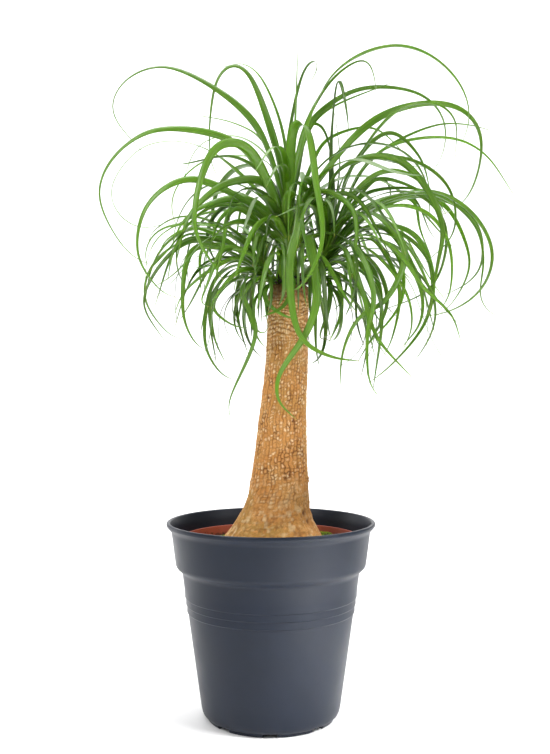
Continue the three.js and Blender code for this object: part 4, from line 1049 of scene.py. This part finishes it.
def ruled_blades(shoot, habit):
    """The blades set out by rule: each a golden turn on from the one above, starting flatter the
    older it is, arching over while it sways sideways, and flicked up or curled under at its tip."""
    draw = dice(habit["seed"])
    blades = []
    for number in range(habit["count"]):
        age = number / (habit["count"] - 1)
        turn = habit["spread"] * (2 * ((GOLDEN_TURN * number) % 1) - 1) + draw(-8, 8)
        azimuth = math.radians(habit["lean_to"] + turn)
        toward = math.cos(math.radians(turn))
        launch = mix(*habit["launch"], age) - habit["lean"] * toward + draw(-8, 8)
        front = max(0.0, -math.sin(azimuth))
        length = mix(*habit["length"], age) * draw(0.75, 1.2) * (1 - 0.35 * front ** 3)
        landing = launch - draw(*habit["fall"])
        flick = draw(-50, 90)
        sway = math.radians(draw(-50, 50))
        width = mix(*habit["width"], age) * draw(0.75, 1.2)
        roll = (draw(-15, 35), draw(-30, 60))
        spot = blade_root(shoot, heading(azimuth, math.radians(launch)))
        route = [spot]
        for step in range(ARCH_STEPS):
            t = (step + 0.5) / ARCH_STEPS
            pitch = math.radians(mix(launch, landing, bend(t)) + flick * bend(2.2 * t - 1.2))
            spot = clear_of_stem(
                spot + heading(azimuth + sway * t * t, pitch) * length / ARCH_STEPS)
            route.append(spot)
        blades.append(Blade(route, width, roll, 0.35 + 0.65 * age, 0.0))
    return blades


def chosen_blades(shoot, rows):
    """The blades whose routes are listed, each from its own root on the shoot."""
    blades = []
    for width, roll_start, roll_end, spots in rows:
        start = np.array(spots[0], float) - shoot_point(shoot, 0.5)
        start /= np.linalg.norm(start)
        route = [blade_root(shoot, start), *spots]
        blades.append(Blade(route, width, (roll_start, roll_end), CHOSEN_AGE, FACING))
    return blades


def strap(blades, seed):
    """Points, colours and map of strap leaves along their routes.

    A route is smoothed, and a frame is slid along it without turning about it, turned a little to
    the front at each ring where the blade faces it, then rolled from one angle to the other.
    Across, a blade is a thin crescent: its edges rise from the middle line by a fold that is deep
    at the root and opens out, and its back bulges by the thickness at the middle. Along, it widens
    over the first fifth and then tapers to a hair. Points stay inside the model's box."""
    random = np.random.default_rng(seed)
    count = len(blades)
    lines, lengths = [], []
    for blade in blades:
        line = evenly(catmull_rom(blade.route, np.linspace(0, 1, 400)), BLADE_RINGS + 1)
        for _ in range(6):
            line[1:-1] = (line[:-2] + 2 * line[1:-1] + line[2:]) / 4
        lines.append(line)
        lengths.append(np.linalg.norm(np.diff(line, axis=0), axis=1).sum())
    lines, lengths = np.stack(lines), np.array(lengths)
    ahead = np.gradient(lines, axis=1)
    ahead /= np.linalg.norm(ahead, axis=2, keepdims=True)
    outward = lines[:, BLADE_RINGS // 2] - lines[:, 0]
    side = np.stack([-outward[:, 1], outward[:, 0], 0 * outward[:, 0]], axis=1)
    sides = np.empty_like(lines)
    pull = np.array([blade.facing for blade in blades])[:, None]
    for ring in range(BLADE_RINGS + 1):
        side = side - (side * ahead[:, ring]).sum(axis=1, keepdims=True) * ahead[:, ring]
        side /= np.linalg.norm(side, axis=1, keepdims=True)
        level = np.cross([0.0, -1.0, 0.0], ahead[:, ring])
        firmness = pull * (ring > FACING_FROM * BLADE_RINGS)
        side = side + firmness * np.sign((side * level).sum(axis=1, keepdims=True)) * level
        side /= np.linalg.norm(side, axis=1, keepdims=True)
        sides[:, ring] = side
    t = np.linspace(0, 1, BLADE_RINGS + 1)[None]
    width = np.array([blade.width for blade in blades])[:, None]
    rolls = np.array([blade.rolls for blade in blades])
    roll = np.radians(mix(rolls[:, :1], rolls[:, 1:], t))[..., None]
    upper = np.cross(ahead, sides)
    edge = sides * np.cos(roll) + upper * np.sin(roll)
    upper = np.cross(ahead, edge)
    taper = mix(0.45, 1, smooth(t / 0.2)) * (1 - t ** 1.7) ** 0.85
    half = (width * taper / 2 + 0.12)[..., None]
    fold = np.radians(random.uniform(4, 14, (count, 1)) + 42 * np.exp(-t / 0.10))[..., None]
    across = np.array([1, 0.5, 0, -0.5, -1, -0.5, 0, 0.5])
    back = np.array([0, 0, 0, 0, 0, 1, 1, 1])
    thick = 0.28 + 0.012 * width[..., None] * (1 - t[..., None])
    phase = t * lengths[:, None] / RIPPLE_LENGTH + random.uniform(0, 6, (count, 1))
    ripple = 0.03 * half * np.sin(phase)[..., None]
    rise = half * np.sin(fold) * np.abs(across) ** 1.3 + ripple * across ** 3
    rise = rise - back * thick * (1 - across ** 2)
    points = (lines[:, :, None] + edge[:, :, None] * (half * np.cos(fold) * across)[..., None]
              + upper[:, :, None] * rise[..., None])
    low, high = np.array(CAD_BOX, float) / MM
    points = np.clip(points, low, high)
    shape = points.shape[:3]
    age = np.array([blade.age for blade in blades])[:, None, None]
    age = age + random.uniform(-0.12, 0.12, (count, 1, 1))
    marks = np.stack([np.broadcast_to(np.clip(age, 0, 1), shape),
                      np.broadcast_to(t[..., None], shape),
                      np.broadcast_to(random.uniform(0, 1, (count, 1, 1)), shape),
                      np.ones(shape)], axis=-1)
    chart = np.stack([np.broadcast_to((half + 0 * t[..., None]) * across, shape)
                      + 40 * np.arange(count)[:, None, None],
                      np.broadcast_to((t * lengths[:, None])[..., None], shape)], axis=-1)
    return points, marks, chart


def crown(name, blades, waxy, seed):
    points, marks, chart = strap(blades, seed)
    return surface(name, points, waxy, values={"marks": marks}, uv=chart)


def shoot_cores(waxy):
    """The short fleshy cores that the blades grow from: round tubes along the shoots' lines."""
    pieces = []
    share = np.linspace(0, 1, 24)
    for name, shoot in SHOOTS.items():
        centre = shoot_point(shoot, share)[:, None]
        radius = mix(shoot["radii"][0], shoot["radii"][1], share)[:, None]
        angle = full_turn(40)
        ring = np.stack([radius * np.cos(angle), radius * np.sin(angle),
                         np.zeros((24, 40))], axis=-1)
        marks = np.stack([np.full((24, 40), 0.2), np.full((24, 40), 0.3),
                          np.full((24, 40), 0.3), np.ones((24, 40))], axis=-1)
        chart = np.stack([(angle * radius), np.broadcast_to(centre[..., 2], (24, 40))], axis=-1)
        pieces.append(surface("shoot_" + name, centre + ring, waxy, values={"marks": marks},
                              uv=chart))
    return pieces


def old_leaf_bases(papery):
    """Dry bases of shed leaves round the foot of the shoots: short broad straps that stand out
    and curl, most of them dark and a few torn to tan fibre."""
    draw = dice(19)
    blades = []
    for number in range(OLD_BASES):
        angle = math.radians(GOLDEN_ANGLE * number)
        foot_radius = draw(8, 19)
        pitch = math.radians(draw(0, 60))
        reach = draw(8, 19)
        spot = np.array([STEM_TOP_CENTRE + foot_radius * math.cos(angle),
                         foot_radius * math.sin(angle), SHOOT_FOOT + draw(-2, 4)])
        start = heading(angle + math.radians(draw(-50, 50)), pitch)
        mid = spot + 0.5 * reach * start
        end = mid + 0.5 * reach * heading(angle, pitch + math.radians(draw(-70, 40)))
        route = [spot - 3 * start, mid, end]
        blades.append(Blade(route, draw(4, 9), (draw(-30, 30), draw(-30, 30)), 0.5, 0.0))
    points, _, _ = strap(blades, 20)
    shade = np.random.default_rng(21).uniform(0, 1, (len(blades), 1, 1)) ** 1.6
    return surface("old_leaf_bases", points, papery,
                   values={"shade": np.broadcast_to(shade, points.shape[:3])})

# ---------------------------------------------------------------- putting the plant together


def stands_for(pieces, node):
    for piece in pieces:
        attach(piece, "root")
        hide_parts(node)


stands_for([outer_pot(satin_grey_polypropylene())], "outer_pot")
stands_for([inner_pot(terracotta_polypropylene())], "inner_pot")
stands_for([soil(potting_soil()), soil_crumbs(bark_crumbs())], "soil")
green = cushion_moss()
stands_for(moss("moss_right", green, 42, 87, 22, 8, 8, 31), "moss_right")
stands_for(moss("moss_left", green, 130, 88, 12, 6, 4, 32), "moss_left")
stands_for([trunk(corky_bark())], "trunk")

leaf = strap_leaf()
rows = {"main": MAIN_LEAVES, "left": LEFT_LEAVES, "right": RIGHT_LEAVES}
for number, (side, shoot) in enumerate(SHOOTS.items()):
    grown = chosen_blades(shoot, rows[side]) + ruled_blades(shoot, HABITS[side])
    small = ruled_blades(shoot, SMALL_LEAVES[side])
    stands_for([crown("leaves_" + side, grown, leaf, 50 + number),
                crown("small_leaves_" + side, small, leaf, 60 + number)], "leaf_crown")
stands_for(shoot_cores(leaf), "leaf_crown")
stands_for([old_leaf_bases(dry_sheath())], "leaf_crown")

# ---------------------------------------------------------------- floor, light and camera


def pale_floor():
    """A plain pale floor that sweeps up into a wall far behind."""
    turn = np.linspace(0, math.pi / 2, 24)
    bend = 1200.0
    far = 2600.0
    depth = np.concatenate([[-3000.0], far + bend * np.sin(turn), [far + bend]])
    height = np.concatenate([[0.0], bend * (1 - np.cos(turn)), [4200.0]])
    width = np.array([-4500.0, 4500.0])
    points = np.stack(np.broadcast_arrays(width[None], depth[:, None], height[:, None]), axis=-1)
    rows_, columns = points.shape[:2]
    number = np.arange(rows_ * columns).reshape(rows_, columns)
    quads = np.stack([number[:-1, :-1], number[:-1, 1:], number[1:, 1:], number[1:, :-1]], axis=-1)
    mesh = bpy.data.meshes.new("pale_floor")
    mesh.from_pydata((points.reshape(-1, 3) * MM).tolist(), [], quads.reshape(-1, 4).tolist())
    mesh.polygons.foreach_set("use_smooth", np.ones(len(mesh.polygons), bool))
    material, tree, shader, _ = finish("matt white paper")
    feed(tree, shader, {"Base Color": linear("#f6f6f6"), "Roughness": 0.9})
    mesh.materials.append(material)
    piece = bpy.data.objects.new("pale_floor", mesh)
    bpy.context.scene.collection.objects.link(piece)


def soft_light(name, place, aim, size, power, spread=180):
    """A large square lamp at a place in metres, turned to face the aim. Its spread is the angle
    in degrees that its light stays within."""
    lamp = bpy.data.lights.new(name, "AREA")
    lamp.size, lamp.energy, lamp.spread = size, power, math.radians(spread)
    holder = bpy.data.objects.new(name, lamp)
    holder.location = place
    direction = np.array(aim) - np.array(place)
    yaw = math.atan2(direction[1], direction[0]) - math.pi / 2
    pitch = math.atan2(direction[2], math.hypot(direction[0], direction[1])) + math.pi / 2
    holder.rotation_euler = (pitch, 0.0, yaw)
    bpy.context.scene.collection.objects.link(holder)


pale_floor()
soft_light("key_left", (-1.2, -1.2, 1.7), (0, 0, 0.45), 1.0, 25)
soft_light("pool_right", (0.40, -0.30, 0.42), (0.30, -0.30, 0), 0.2, 3.6, 110)
soft_light("rim_left", (-1.3, 0.7, 0.5), (0, 0, 0.2), 0.8, 3)
soft_light("fill_right", (1.5, -0.9, 1.2), (0, 0, 0.4), 1.0, 8)
soft_light("top", (0.1, 0.3, 2.2), (0, 0, 0.4), 1.6, 25)
soft_light("backdrop", (0, 1.4, 2.6), (0, 3.4, 0.9), 2.4, 120)

world = bpy.data.worlds.new("white room")
world.use_nodes = True
feed(world.node_tree, world.node_tree.nodes["Background"],
     {"Color": (1.0, 1.0, 1.0, 1.0), "Strength": 0.36})
bpy.context.scene.world = world
bpy.context.scene.view_settings.view_transform = "Standard"

FRAME_HEIGHT = 754.0        # the picture's long side, in pixels
FOCAL_LENGTH = 975.0        # in the same pixels
SENSOR = 36.0               # mm
EYE = (4.7, -1126.0, 390.0)     # where the camera stands, in mm
lens = bpy.data.cameras.new("camera")
lens.sensor_width = SENSOR
lens.lens = SENSOR * FOCAL_LENGTH / FRAME_HEIGHT
camera = bpy.data.objects.new("camera", lens)
camera.location = [place * MM for place in EYE]
camera.rotation_euler = (math.pi / 2, 0.0, 0.0)
bpy.context.scene.collection.objects.link(camera)
bpy.context.scene.camera = camera
